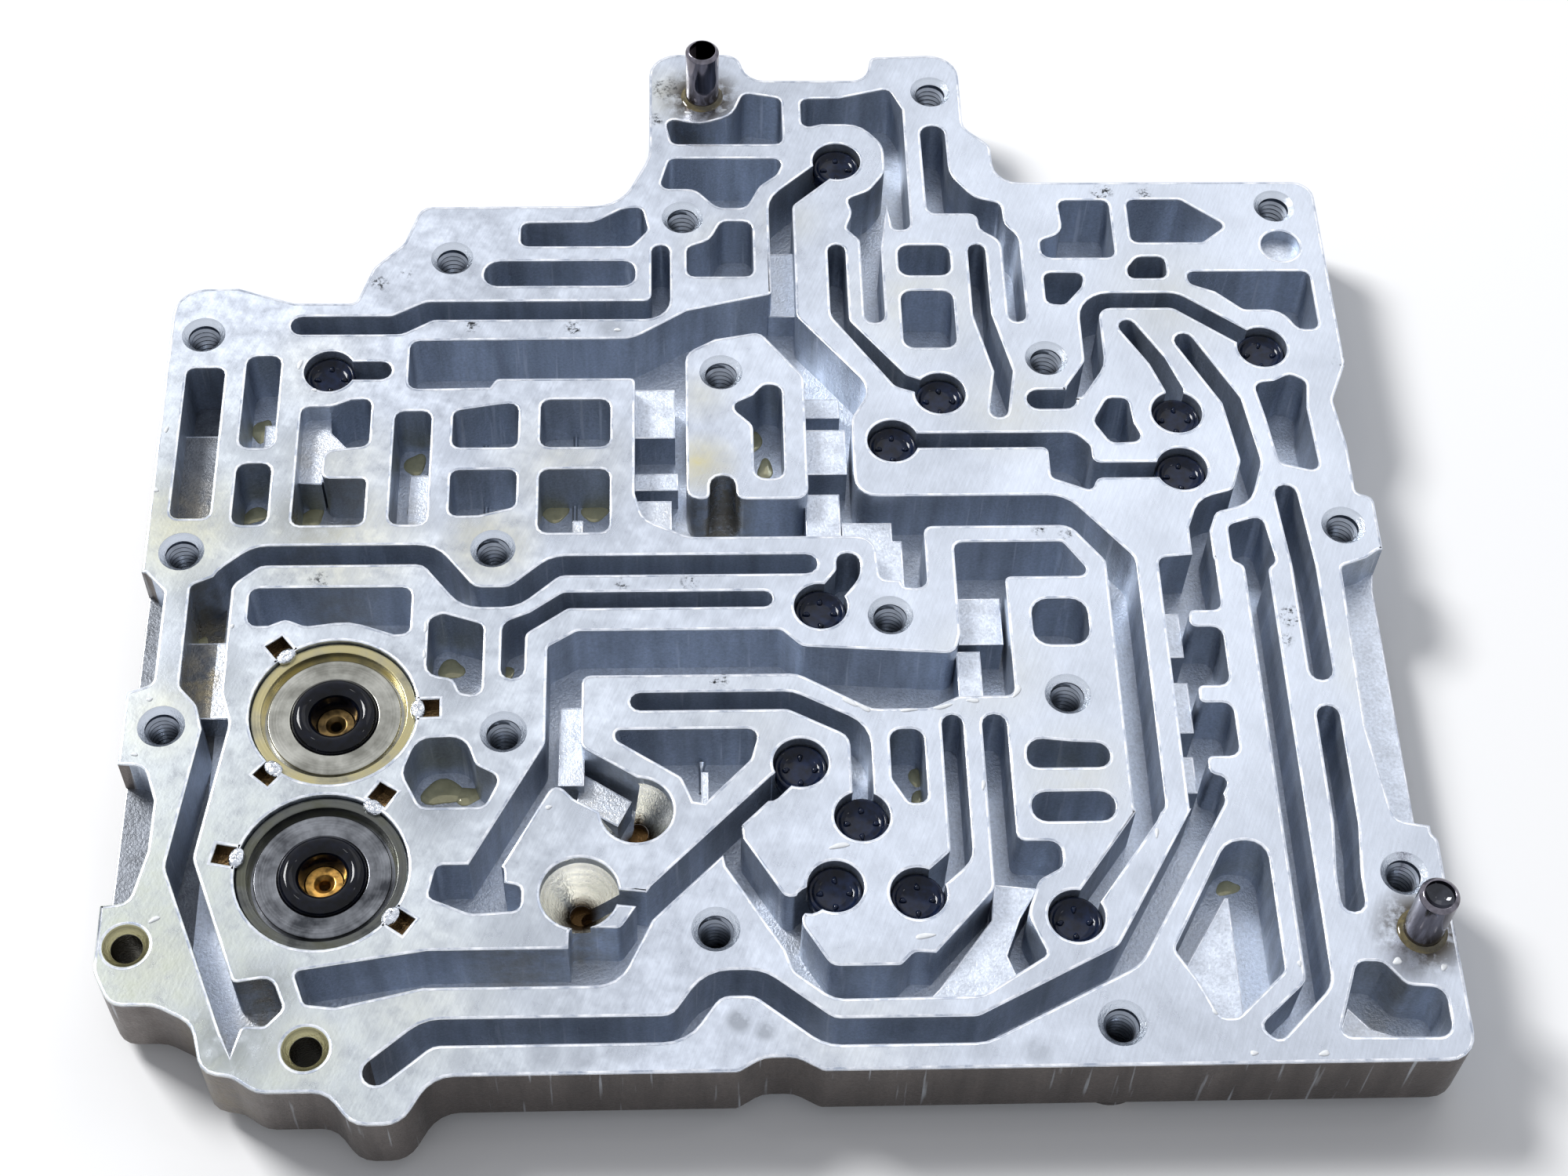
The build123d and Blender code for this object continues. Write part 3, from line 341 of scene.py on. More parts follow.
def level(tree, point):
    """The point brought to the height of the face, so that distances from it are level ones."""
    flat = add(tree, "VectorMath", {0: point, 1: (1.0, 1.0, 0.0)}, operation="MULTIPLY").outputs["Vector"]
    return add(tree, "VectorMath", {0: flat, 1: (0.0, 0.0, FACE)}, operation="ADD").outputs["Vector"]


def spots(tree, point, marks, ragged, reach=0.45):
    """Mask of round marks with a ragged outline: full within a share of the radius, the strongest kept."""
    total = None
    for x, y, radius, strength in marks:
        part = ramp(tree, distance(tree, point, x, y), radius, radius * reach, 0.0, strength)
        total = part if total is None else larger(tree, total, part)
    if ragged is None:
        return total
    return add(tree, "Clamp", {"Value": product(tree, total, ragged)}).outputs[0]


def mixed(tree, amount, low, high):
    """Colour between low and high by an amount."""
    return add(tree, "Mix", {"Factor": amount, 6: low, 7: high}, data_type="RGBA").outputs[2]


def darker(tint, share):
    """A colour of a property, darkened to a share of itself."""
    return tuple(value * share for value in tint[:3]) + (1.0,)


def merged_copy(node, name):
    """Copy of a CAD node as one closed mesh: doubles merged and flat regions joined into whole faces."""
    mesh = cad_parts[node].data.copy()
    mesh.name = name
    work = bmesh.new()
    work.from_mesh(mesh)
    bmesh.ops.remove_doubles(work, verts=work.verts, dist=2e-6)
    bmesh.ops.dissolve_limit(work, angle_limit=math.radians(0.4), verts=work.verts, edges=work.edges)
    work.to_mesh(mesh)
    work.free()
    if "custom_normal" in mesh.attributes:
        mesh.attributes.remove(mesh.attributes["custom_normal"])
    piece = bpy.data.objects.new(name, mesh)
    bpy.context.scene.collection.objects.link(piece)
    return piece


def smooth_by_angle(mesh, degrees):
    """Smooth shading, with each edge that turns by more than the angle kept sharp."""
    mesh.shade_smooth()
    mesh.set_sharp_from_angle(angle=math.radians(degrees))


def keep_sharp(mesh, chosen):
    """Smooth shading, with the chosen edges kept sharp."""
    mesh.shade_smooth()
    layer = mesh.attributes.get("sharp_edge") or mesh.attributes.new("sharp_edge", "BOOLEAN", "EDGE")
    layer.data.foreach_set("value", chosen)


def weigh_edges(mesh, chosen):
    """Bevel weight 1 on the chosen edges and 0 on the others."""
    layer = mesh.attributes.new("bevel_weight_edge", "FLOAT", "EDGE")
    layer.data.foreach_set("value", np.asarray(chosen, np.float32))


def points_and_ends(mesh):
    """The mesh's points, and for each edge the numbers of the two points that it joins."""
    points = np.empty(len(mesh.vertices) * 3)
    mesh.vertices.foreach_get("co", points)
    ends = np.empty(len(mesh.edges) * 2, int)
    mesh.edges.foreach_get("vertices", ends)
    return points.reshape(-1, 3), ends.reshape(-1, 2)


def edge_facts(mesh):
    """For each edge: its ends, whether it is convex, its faces' angle and the lower-facing normal."""
    work = bmesh.new()
    work.from_mesh(mesh)
    work.normal_update()
    convex = np.array([edge.is_convex and len(edge.link_faces) == 2 for edge in work.edges])
    angle = np.array([edge.calc_face_angle(0.0) for edge in work.edges])
    normals = [[tuple(face.normal) for face in edge.link_faces] for edge in work.edges]
    sides = np.array([min(pair, key=lambda normal: normal[2]) for pair in normals])
    work.free()
    points, ends = points_and_ends(mesh)
    return points[ends], convex, angle, sides


def edge_mesh(mesh, chosen, sides, width):
    """Strip with a rounded section laid over the chosen level edges.

    Each end of an edge moves along the mean of the normals of the walls that meet there, divided by
    the cosine of half their angle, so that neighbouring strips meet. The section is a rounded nose
    and then a flat on the land.
    """
    points, ends = points_and_ends(mesh)
    ends = ends[chosen]
    out = sides[chosen][:, :2]
    out = out / np.linalg.norm(out, axis=1, keepdims=True)
    total = np.zeros((len(points), 2))
    count = np.zeros((len(points), 1))
    for column in (0, 1):
        np.add.at(total, ends[:, column], out)
        np.add.at(count, ends[:, column], 1)
    mean = total / np.maximum(count, 1)
    mean = mean / np.maximum((mean ** 2).sum(axis=1, keepdims=True), 0.35)
    proud = 0.00002
    section = np.array([
        (proud, -0.55 * width), (proud, -0.3 * width), (-0.1 * width, -0.08 * width),
        (-0.3 * width, proud), (-width, proud),
    ])
    used, index = np.unique(ends, return_inverse=True)
    index = index.reshape(-1, 2)
    rows = np.empty((len(used), len(section), 3))
    rows[:, :, :2] = points[used, None, :2] + mean[used, None] * section[None, :, :1]
    rows[:, :, 2] = points[used, None, 2] + section[None, :, 1]
    along_edge = points[ends[:, 1], :2] - points[ends[:, 0], :2]
    flip = (along_edge[:, 0] * out[:, 1] - along_edge[:, 1] * out[:, 0]) > 0
    index[flip] = index[flip][:, ::-1]
    step = np.arange(len(section) - 1)
    first, second = index[:, :1] * len(section) + step, index[:, 1:] * len(section) + step
    faces = np.stack([first, second, second + 1, first + 1], -1).reshape(-1, 4)
    strip = bpy.data.meshes.new("burnished_edge_highlights")
    strip.from_pydata(rows.reshape(-1, 3).tolist(), [], faces.tolist())
    strip.update()
    return strip


def bevel(piece, width):
    """Narrow rounded bevel on the edges that carry a weight."""
    made = piece.modifiers.new("edge", "BEVEL")
    made.width = width
    made.segments = 3
    made.limit_method = "WEIGHT"


def around(count):
    """Angles of that many points round a circle, as a row."""
    return np.linspace(0, 2 * math.pi, count, endpoint=False)[None, :]


def pole_to_pole(count):
    """Angles of that many rings from nearly the top to nearly the bottom of a ball, as a column."""
    return np.linspace(0.02, math.pi - 0.02, count)[:, None]


def grid_mesh(name, points):
    """Mesh of a grid of points with shape (rows, columns, 3), each row closed to a ring."""
    rows, columns = points.shape[:2]
    index = np.arange(rows * columns).reshape(rows, columns)
    index = np.hstack([index, index[:, :1]])
    faces = np.stack([index[:-1, :-1], index[:-1, 1:], index[1:, 1:], index[1:, :-1]], -1).reshape(-1, 4)
    mesh = bpy.data.meshes.new(name)
    mesh.from_pydata(points.reshape(-1, 3).tolist(), [], faces.tolist())
    mesh.update()
    return mesh


def joined(name, meshes):
    """One object from several meshes, which it takes the place of."""
    work = bmesh.new()
    for mesh in meshes:
        work.from_mesh(mesh)
        bpy.data.meshes.remove(mesh)
    whole = bpy.data.meshes.new(name)
    work.to_mesh(whole)
    work.free()
    piece = bpy.data.objects.new(name, whole)
    bpy.context.scene.collection.objects.link(piece)
    return piece


def along(tree, point, turn, length_mm, width_mm):
    """Coordinates in which noise has long features: turned, then divided by their length and width."""
    return add(tree, "Mapping", {
        "Vector": point, "Rotation": (0, 0, turn), "Scale": (length_mm, width_mm, 1.0),
    }, vector_type="TEXTURE").outputs[0]


def near(tree, value, limit, operation="LESS_THAN"):
    """1 where a value is on one side of a limit, and 0 elsewhere."""
    return maths(tree, operation, value, limit)


def shaded(tree, plain, shade):
    """Colour of a property made lighter or darker by a value."""
    return add(tree, "VectorMath", {0: tuple(plain[:3]), "Scale": shade}, operation="SCALE").outputs["Vector"]


def milled_face(tree, look, point, blotch, ragged):
    """Colour of the milled face: cutter marks, clouds of grey, oil, stains and pits, a darker lower left that
    is part tarnish and part painted shade, and a dark smudge round the pins that is oil with a painted
    reflection of the pins.
    """
    cloud = noise(tree, point, 0.045)
    # The cutter's marks are drawn wider than real ones, so that they show.
    brush = noise(tree, along(tree, point, 1.2, 4.0, 0.35), 1.0, 4.0, 0.7)
    scratch = noise(tree, along(tree, point, 1.9, 9.0, 0.5), 1.0, 3.0, 0.8)
    flecks = ramp(tree, noise(tree, point, 1.1, 6.0, 0.75), 0.5, 0.62, 0.0, 1.6)
    tone = product(tree, ramp(tree, cloud, 0.32, 0.68, 0.86, 1.12), ramp(tree, blotch, 0.3, 0.7, 0.93, 1.07))
    fine = product(tree, ramp(tree, brush, 0.3, 0.7, 0.9, 1.08), ramp(tree, scratch, 0.3, 0.75, 0.97, 1.05))
    face = shaded(tree, look.milled, product(tree, tone, fine))
    films = spots(tree, point, OIL_FILMS, ramp(tree, blotch, 0.3, 0.7, 0.4, 1.0), 0.1)
    face = mixed(tree, films, face, tuple(look.oil))
    # The lower left of the face is darkened: part tarnish, part painted shade.
    tarnish_and_shade = spots(tree, point, DULL_SHADED_FACE, ramp(tree, blotch, 0.3, 0.7, 0.6, 1.0), 0.1)
    face = mixed(tree, tarnish_and_shade, face, shaded(tree, linear("#868a80"), fine))
    # Dark smudge round the feet of the pins: oil, and a painted reflection of the pins in the oily face.
    feet = nearest(tree, point, PINS.values())
    smear_and_reflection = product(tree, ramp(tree, feet, 3.6, 8.0, 0.7, 0.0), ragged)
    face = mixed(tree, add(tree, "Clamp", {"Value": smear_and_reflection}).outputs[0], face, linear("#4e4a45"))
    face = mixed(tree, spots(tree, point, STAINS, ragged), face, tuple(look.stain))
    return mixed(tree, spots(tree, point, PITS, flecks), face, tuple(look.pit))


def cast_skin(tree, look, point, upward, grain, blotch):
    """Colour of the as-cast floors and walls: grainy, with the walls darker than the floors as painted shade,
    painted upright streaks of reflection and painted glints down the walls, dull outside, and the floors at
    the left darkened with painted shade.
    """
    split = add(tree, "SeparateXYZ", {"Vector": point}).outputs
    coarse = ramp(tree, grain, 0.25, 0.75, 0.78, 1.22)
    # Noise stretched up the walls darkens and lightens them in upright streaks: a painted reflection.
    stretched_up = add(tree, "Mapping", {"Vector": point, "Scale": (0.3, 0.3, 0.03)}).outputs[0]
    painted_streak_reflection = ramp(tree, noise(tree, stretched_up, 1.0, 3.0, 0.55), 0.32, 0.68, 0.78, 1.25)
    # Thin upright streaks mixed towards bright metal: painted glints.
    thin = add(tree, "Mapping", {"Vector": point, "Scale": (1.1, 1.1, 0.05)}).outputs[0]
    painted_glint = ramp(tree, noise(tree, thin, 1.0, 2.0, 0.5), 0.64, 0.74, 0.0, 0.6)
    wall = mixed(tree, painted_glint, shaded(tree, look.wall, product(tree, coarse, painted_streak_reflection)), tuple(look.cone))
    skin = mixed(tree, painted_glint, shaded(tree, look.rim, product(tree, coarse, painted_streak_reflection)), tuple(look.cone))
    front = near(tree, split["Y"], FRONT_WALL - MIDDLE[1])
    left = near(tree, split["X"], LEFT_WALL - MIDDLE[0])
    across = maths(tree, "ADD", split["X"], split["Y"])
    corner = near(tree, across, CUT_CORNER - MIDDLE[0] - MIDDLE[1])
    wall = mixed(tree, larger(tree, larger(tree, front, left), corner), wall, skin)
    floor = shaded(tree, look.cast, product(tree, coarse, ramp(tree, blotch, 0.3, 0.7, 0.8, 1.15)))
    # Floors at the left are darkened: dull oil, and painted shade.
    dull = shaded(tree, look.cast, product(tree, coarse, ramp(tree, blotch, 0.3, 0.7, 0.14, 0.3)))
    floor = mixed(tree, near(tree, split["X"], DULL_SHADED_FLOOR - MIDDLE[0]), floor, dull)
    # Walls take the darker wall colour and floors the lighter one: painted shade.
    return mixed(tree, upward, wall, floor)


def cast_aluminium(look):
    """Die-cast aluminium with a milled face, bright cut metal round the holes, oil on the floors, and painted
    shade on the walls, in the screw bores, in the plain bores and on the notch walls.
    """
    made, tree, shader, point = material("die_cast_aluminium")
    height = add(tree, "SeparateXYZ", {"Vector": point}).outputs["Z"]
    geometry = add(tree, "NewGeometry")
    facing = add(tree, "SeparateXYZ", {"Vector": geometry.outputs["True Normal"]}).outputs["Z"]
    upward = ramp(tree, facing, 0.6, 0.85)
    # The milled finish fades in just under the face.
    milled = product(tree, upward, ramp(tree, height, FACE - 0.12, FACE - 0.06))
    below = near(tree, height, FACE - 0.02)
    sloped = product(tree, near(tree, facing, 0.25, "GREATER_THAN"), near(tree, facing, 0.85))
    raised = level(tree, point)
    grain = noise(tree, point, 2.2, 3.0, 0.7)
    blotch = noise(tree, point, 0.35, 5.0, 0.65)
    ragged = ramp(tree, blotch, 0.36, 0.56, 0.0, 1.5)

    brown = spots(tree, raised, FLOOR_OIL, ragged, 0.2)
    cast = cast_skin(tree, look, point, upward, grain, blotch)
    cast = mixed(tree, product(tree, brown, 0.7), cast, tuple(look.brown))
    base = mixed(tree, milled, cast, milled_face(tree, look, point, blotch, ragged))

    from_screw = nearest(tree, raised, SCREW_HOLES)
    from_seat = nearest(tree, raised, BALL_SEATS)
    from_plain_hole = nearest(tree, raised, THROUGH_HOLES)
    from_notch = nearest(tree, raised, STAKES["rear"] + STAKES["front"])
    seats = spots(tree, raised, [(x, y, radius + 0.2, 1.0) for x, y, radius in BALL_SEATS], None, 0.97)
    seats = product(tree, seats, sloped)
    cones = product(tree, ramp(tree, from_screw, *CONE), sloped)
    cut = product(tree, larger(tree, seats, cones), below)
    turning = ring_noise(tree, maths(tree, "MINIMUM", from_screw, from_seat), 1.6, 3.0)
    patchy = ramp(tree, blotch, 0.3, 0.7, 0.92, 1.05)
    bright = product(tree, ramp(tree, turning, 0.35, 0.65, 0.86, 1.0), patchy)
    base = mixed(tree, cut, base, shaded(tree, look.cone, bright))
    base = mixed(tree, product(tree, seats, below), base, shaded(tree, linear("#f6f4ea"), bright))
    base = mixed(tree, product(tree, ramp(tree, from_seat, *THROAT), below), base, linear("#4a3518"))
    # The bores of the screw holes are coloured dark: painted shade inside the holes.
    bore_shade = product(tree, near(tree, from_screw, BORE_REACH), near(tree, height, FACE - BORE_DEPTH))
    base = mixed(tree, bore_shade, base, linear("#505a6b"))
    # In the notches the walls are dark as painted shade, and the floors brown with dirt.
    notched = product(tree, ramp(tree, from_notch, *NOTCH), below)
    dirt = mixed(tree, ragged, linear("#7a5f40"), linear("#d0a872"))
    base = mixed(tree, notched, base, mixed(tree, upward, linear("#3d3936"), dirt))
    rings = product(tree, ramp(tree, from_plain_hole, *PLAIN_RING), below)
    ring = ramp(tree, ring_noise(tree, from_plain_hole, 1.9, 2.0), 0.3, 0.7, 0.5, 1.15)
    # Below its countersink a plain hole's bore is dark: oil, and painted shade inside the hole.
    deep = near(tree, height, FACE - PLAIN_DEPTH)
    hole = mixed(tree, deep, shaded(tree, linear("#b7b188"), ring), linear("#5e5a4b"))
    base = mixed(tree, rings, base, hole)
    tree.links.new(base, shader.inputs["Base Color"])

    tree.links.new(larger(tree, ramp(tree, milled, 0.0, 1.0, 0.8, 0.75), cut), shader.inputs["Metallic"])
    wet = product(tree, larger(tree, seats, larger(tree, rings, notched)), below)
    oily = maths(tree, "ADD", product(tree, brown, 0.2), product(tree, cut, 0.14))
    oily = maths(tree, "ADD", oily, product(tree, wet, 0.16))
    rough = maths(tree, "SUBTRACT", ramp(tree, milled, 0.0, 1.0, 0.38, 0.33), oily)
    rough = maths(tree, "ADD", rough, ramp(tree, blotch, 0.3, 0.7, -0.08, 0.1))
    tree.links.new(rough, shader.inputs["Roughness"])

    relief = ramp(tree, milled, 0.0, 1.0, 0.5, 0.06)
    bump = add(tree, "Bump", {"Strength": relief, "Distance": 0.0002, "Height": grain})
    tree.links.new(bump.outputs[0], shader.inputs["Normal"])
    return made


def burnished_edge_highlight():
    """Burnished aluminium where the cutter left the face: a thin line round each channel, coloured near white
    as a painted highlight.
    """
    made, tree, shader, point = material("burnished_aluminium_edge_highlight")
    lit = ramp(tree, noise(tree, point, 0.25, 4.0, 0.7), 0.38, 0.62)
    # Near white, brighter than the milled face: a painted highlight on the burnished metal.
    tree.links.new(mixed(tree, lit, linear("#a9b1bf"), linear("#fbfcff")), shader.inputs["Base Color"])
    tune(shader, 0.6, 0.2)
    return made


class ValveBodyCasting(bpy.types.Operator):
    """Milled and cast finish of the channel casting, with painted shade and reflections, and a burnished edge
    round each channel that carries a painted highlight
    """
    bl_idname = "valve_body.casting"
    bl_label = "Channel casting"

    def execute(self, context):
        look = context.scene.valve_body_casting
        piece = merged_copy("channel_casting", "channel_casting_finish")
        ends, convex, angle, sides = edge_facts(piece.data)
        lying = np.abs(ends[:, 0, 2] - ends[:, 1, 2]) < 1e-6
        upright = np.abs(ends[:, 0, :2] - ends[:, 1, :2]).max(axis=1) < 1e-6
        # The upright corners are round, so only a sharper turn counts as an edge there.
        keep_sharp(piece.data, (angle > math.radians(52)) | ((angle > math.radians(32)) & ~upright))
        dress(piece, cast_aluminium(look))
        middle = ends[:, :, :2].mean(axis=1)
        holes = np.array([tuple(place(x, y))[:2] for x, y, _ in SCREW_HOLES])
        bare = np.linalg.norm(middle[:, None] - holes[None], axis=2).min(axis=1) < CONE[0] / 1000
        high_enough = ends[:, 0, 2] > LOWEST_EDGE / 1000
        rounded = convex & lying & ~bare & (angle > math.radians(30)) & high_enough
        top = ends[:, 0, 2] > (FACE - 0.01) / 1000
        edges = joined("burnished_edge_highlights", [
            edge_mesh(piece.data, rounded & top, sides, look.edge_width),
            edge_mesh(piece.data, rounded & ~top, sides, look.edge_width * 0.5),
        ])
        edges.data.shade_smooth()
        dress(edges, burnished_edge_highlight())
        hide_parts("channel_casting")
        for made in (piece, edges):
            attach(made, BODY)
        return {"FINISHED"}


class ValveBodyThreads(bpy.types.Operator):
    """Threads in the screw holes"""
    bl_idname = "valve_body.threads"
    bl_label = "Screw threads"

    def execute(self, context):
        look = context.scene.valve_body_screws
        meshes = [thread_mesh(*hole, look) for hole in SCREW_HOLES]
        piece = joined("screw_threads", meshes)
        smooth_by_angle(piece.data, 40)
        made, tree, shader, point = material("cut_aluminium_thread")
        smudge = noise(tree, point, 0.6, 3.0, 0.5)
        tint = mixed(tree, smudge, darker(look.metal, 0.45), tuple(look.metal))
        tree.links.new(tint, shader.inputs["Base Color"])
        tune(shader, 0.9, 0.28)
        dress(piece, made)
        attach(piece, BODY)
        return {"FINISHED"}


def thread_mesh(x, y, depth, look):
    """Ridge of a screw thread: a wedge section carried round a helix that climbs one pitch in each turn.

    It starts a little above the hole's bottom, ends under the countersink, and runs out at both ends.
    The section's points are shares of the ridge's height (out) and of the pitch (up).
    """
    pitch = look.pitch
    countersink = 0.0009
    clearance = 0.0002
    points_in_a_turn = 26
    run_out = 1.5
    start = FACE / 1000 - countersink - depth / 1000 + clearance
    turns = (depth / 1000 - clearance) / pitch - 1.0
    angle = np.linspace(0, 2 * math.pi * turns, int(turns * points_in_a_turn))[:, None]
    fade = np.clip(np.minimum(angle, angle[-1] - angle) / run_out, 0.02, 1.0)
    out = np.array([0.0, 1.0, 1.0, 0.0, -0.25])[None, :] * look.depth
    up = np.array([0.06, 0.42, 0.58, 0.94, 0.5])[None, :] * pitch
    radius = look.radius - out * fade
    centre = place(x, y)
    points = np.stack([
        centre.x + radius * np.cos(angle),
        centre.y + radius * np.sin(angle),
        start + pitch * angle / (2 * math.pi) + up,
    ], -1)
    return grid_mesh("thread", points)


class ValveBodyStakes(bpy.types.Operator):
    """Punched stakes that hold the damper cups"""
    bl_idname = "valve_body.stakes"
    bl_label = "Damper stakes"

    def execute(self, context):
        look = context.scene.valve_body_dampers
        meshes = [
            stake_mesh(DAMPERS[name], notch, look.stake_size)
            for name, notches in STAKES.items() for notch in notches
        ]
        piece = joined("damper_stakes", meshes)
        piece.data.shade_smooth()
        made, tree, shader, point = material("punched_aluminium")
        dent = noise(tree, point, 1.3, 2.0, 0.5)
        tree.links.new(mixed(tree, dent, linear("#8d939d"), linear("#f4f7fb")), shader.inputs["Base Color"])
        bump = add(tree, "Bump", {"Strength": 0.8, "Distance": 0.0006, "Height": dent})
        tree.links.new(bump.outputs[0], shader.inputs["Normal"])
        tune(shader, 0.95, 0.18)
        dress(piece, made)
        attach(piece, BODY)
        return {"FINISHED"}


def stake_mesh(middle, notch, size):
    """Lump of metal pushed over the cup's edge: a dented ellipsoid with its long side along the edge."""
    u = around(28)
    v = pole_to_pole(16)
    away = np.array([notch[0] - middle[0], notch[1] - middle[1]])
    away = away / np.linalg.norm(away)
    beside = np.array([-away[1], away[0]])
    dent = 1 - 0.28 * np.exp(-((v - 0.2) ** 2) * 3) * (1 + 0.4 * np.cos(2 * u))
    a = np.sin(v) * np.cos(u) * size * 0.42 * dent
    b = np.sin(v) * np.sin(u) * size * 0.62
    z = np.cos(v) * size * 0.3 * dent + 0 * u
    centre = place(middle[0] + away[0] * STAKE_REACH, middle[1] + away[1] * STAKE_REACH, FACE - 0.35)
    points = np.stack([
        centre.x + a * away[0] + b * beside[0], centre.y + a * away[1] + b * beside[1], centre.z + z,
    ], -1)
    return grid_mesh("stake", points)


class ValveBodyCheckValves(bpy.types.Operator):
    """Black moulded discs of the check valves"""
    bl_idname = "valve_body.check_valves"
    bl_label = "Check valves"

    def execute(self, context):
        look = context.scene.valve_body_small
        made, tree, shader, point = material("moulded_black_disc")
        tree.links.new(film(tree, point, look.disc, "#17223c"), shader.inputs["Base Color"])
        tune(shader, 0.0, 0.08)
        shader.inputs["Specular IOR Level"].default_value = 0.2
        for node in [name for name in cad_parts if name.startswith("check_valve_")]:
            low, high = (np.array(corner) * 1000 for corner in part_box(node))
            x, y = (low[:2] + high[:2]) / 2
            piece = joined(node + "_finish", disc_meshes(x, y, low[2], high[2], (high[0] - low[0]) / 2))
            piece.data.shade_smooth()
            dress(piece, made)
            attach(piece, node)
            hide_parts(node)
        return {"FINISHED"}


def disc_meshes(x, y, low, high, radius):
    """Moulded disc: a turned profile with a rounded rim and a dished recess, and four domed pads."""
    x, y = x + MIDDLE[0], y + MIDDLE[1]
    recess = high - 0.72
    profile = [
        (0.0, recess), (0.45, recess), (0.62, high - 0.68), (0.74, high - 0.54), (0.82, high - 0.28),
        (0.86, high - 0.08), (0.9, high), (0.94, high), (0.98, high - 0.08), (1.0, high - 0.26),
        (1.0, low + 0.2), (0.97, low), (0.0, low),
    ]
    disc = turned_mesh(x, y, [(radius * share, height) for share, height in profile[::-1]])
    reach = 0.55 * radius
    pads = []
    for turn in (0, 90, 180, 270):
        away = (reach * math.cos(math.radians(turn)), reach * math.sin(math.radians(turn)))
        pads.append(drop_mesh(x + away[0], y + away[1], recess, 0.55, 0.42, 0.42, turn))
    return [disc, *pads]


def film(tree, point, plain, text):
    """Colour that wanders between a plain one and another as an oil film does."""
    lit = ramp(tree, noise(tree, point, 0.9, 4.0, 0.5), 0.35, 0.7)
    return mixed(tree, lit, tuple(plain), linear(text))


def soften(node, width, finish, body):
    """Replaces a CAD node by its merged copy with softened edges and a finish."""
    piece = merged_copy(node, node + "_finish")
    _, convex, angle, _ = edge_facts(piece.data)
    weigh_edges(piece.data, convex & (angle > math.radians(35)))
    smooth_by_angle(piece.data, 34)
    bevel(piece, width)
    dress(piece, finish)
    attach(piece, body)
    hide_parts(node)


class ValveBodyPins(bpy.types.Operator):
    """Ground steel of the locating pins, with painted upright streaks of reflection"""
    bl_idname = "valve_body.pins"
    bl_label = "Locating pins"

    def execute(self, context):
        look = context.scene.valve_body_small
        made, tree, shader, point = material("ground_steel_pin")
        # Upright streaks of darker and lighter steel: a painted reflection on the pins.
        stretched = add(tree, "Mapping", {"Vector": point, "Scale": (1.0, 1.0, 0.15)}).outputs[0]
        painted_streak_reflection = ramp(tree, noise(tree, stretched, 1.2, 4.0, 0.5), 0.35, 0.65)
        tint = mixed(tree, painted_streak_reflection, darker(look.pin, 0.6), tuple(look.pin))
        tree.links.new(tint, shader.inputs["Base Color"])
        tune(shader, 1.0, 0.12)
        for name in PINS:
            soften("dowel_pin_" + name, 0.0002, made, BODY)
        return {"FINISHED"}


def drop_mesh(x, y, z, half_length, half_width, thickness, turn):
    """Drop of oil: a wavy ellipsoid whose lower half lies in the metal, turned about the vertical."""
    u = around(20)
    v = pole_to_pole(13)
    wobble = 1 + 0.12 * np.cos(3 * u + x) + 0.08 * np.cos(2 * u + y)
    a = np.sin(v) * np.cos(u) * half_length * wobble
    b = np.sin(v) * np.sin(u) * half_width * wobble
    cos, sin = math.cos(math.radians(turn)), math.sin(math.radians(turn))
    centre = place(x, y, z) * 1000
    height = centre.z + np.cos(v) * thickness + 0 * u
    points = np.stack([centre.x + a * cos - b * sin, centre.y + a * sin + b * cos, height], -1)
    return grid_mesh("drop", points / 1000)


def turned_mesh(x, y, profile):
    """Surface of a profile of radius and height turned about a vertical axis."""
    u = around(48)
    radius, height = np.array(profile).T[:, :, None]
    centre = place(x, y, 0) * 1000
    points = np.stack([centre.x + radius * np.cos(u), centre.y + radius * np.sin(u), height + 0 * u], -1)
    return grid_mesh("turned", points / 1000)


def rib_mesh(x, y, reach, tall):
    """Rib on a floor: a half round that runs to the front and swells to a head at its back end."""
    s = np.linspace(0, 1, 18)[:, None]
    u = around(14)
    head = 0.12
    swell = 0.45 + 0.55 * np.exp(-((s - head) ** 2) * 60)
    closing = np.sqrt(np.clip(1 - (1 - np.clip(s / head, 0.02, 1)) ** 2, 0, 1))
    radius = swell * closing
    centre = place(x, y, FLOOR) * 1000
    points = np.stack([
        centre.x + radius * np.cos(u),
        centre.y + 0.8 - reach * s + 0 * u,
        centre.z + radius * tall * np.sin(u),
    ], -1)
    return grid_mesh("rib", points / 1000)


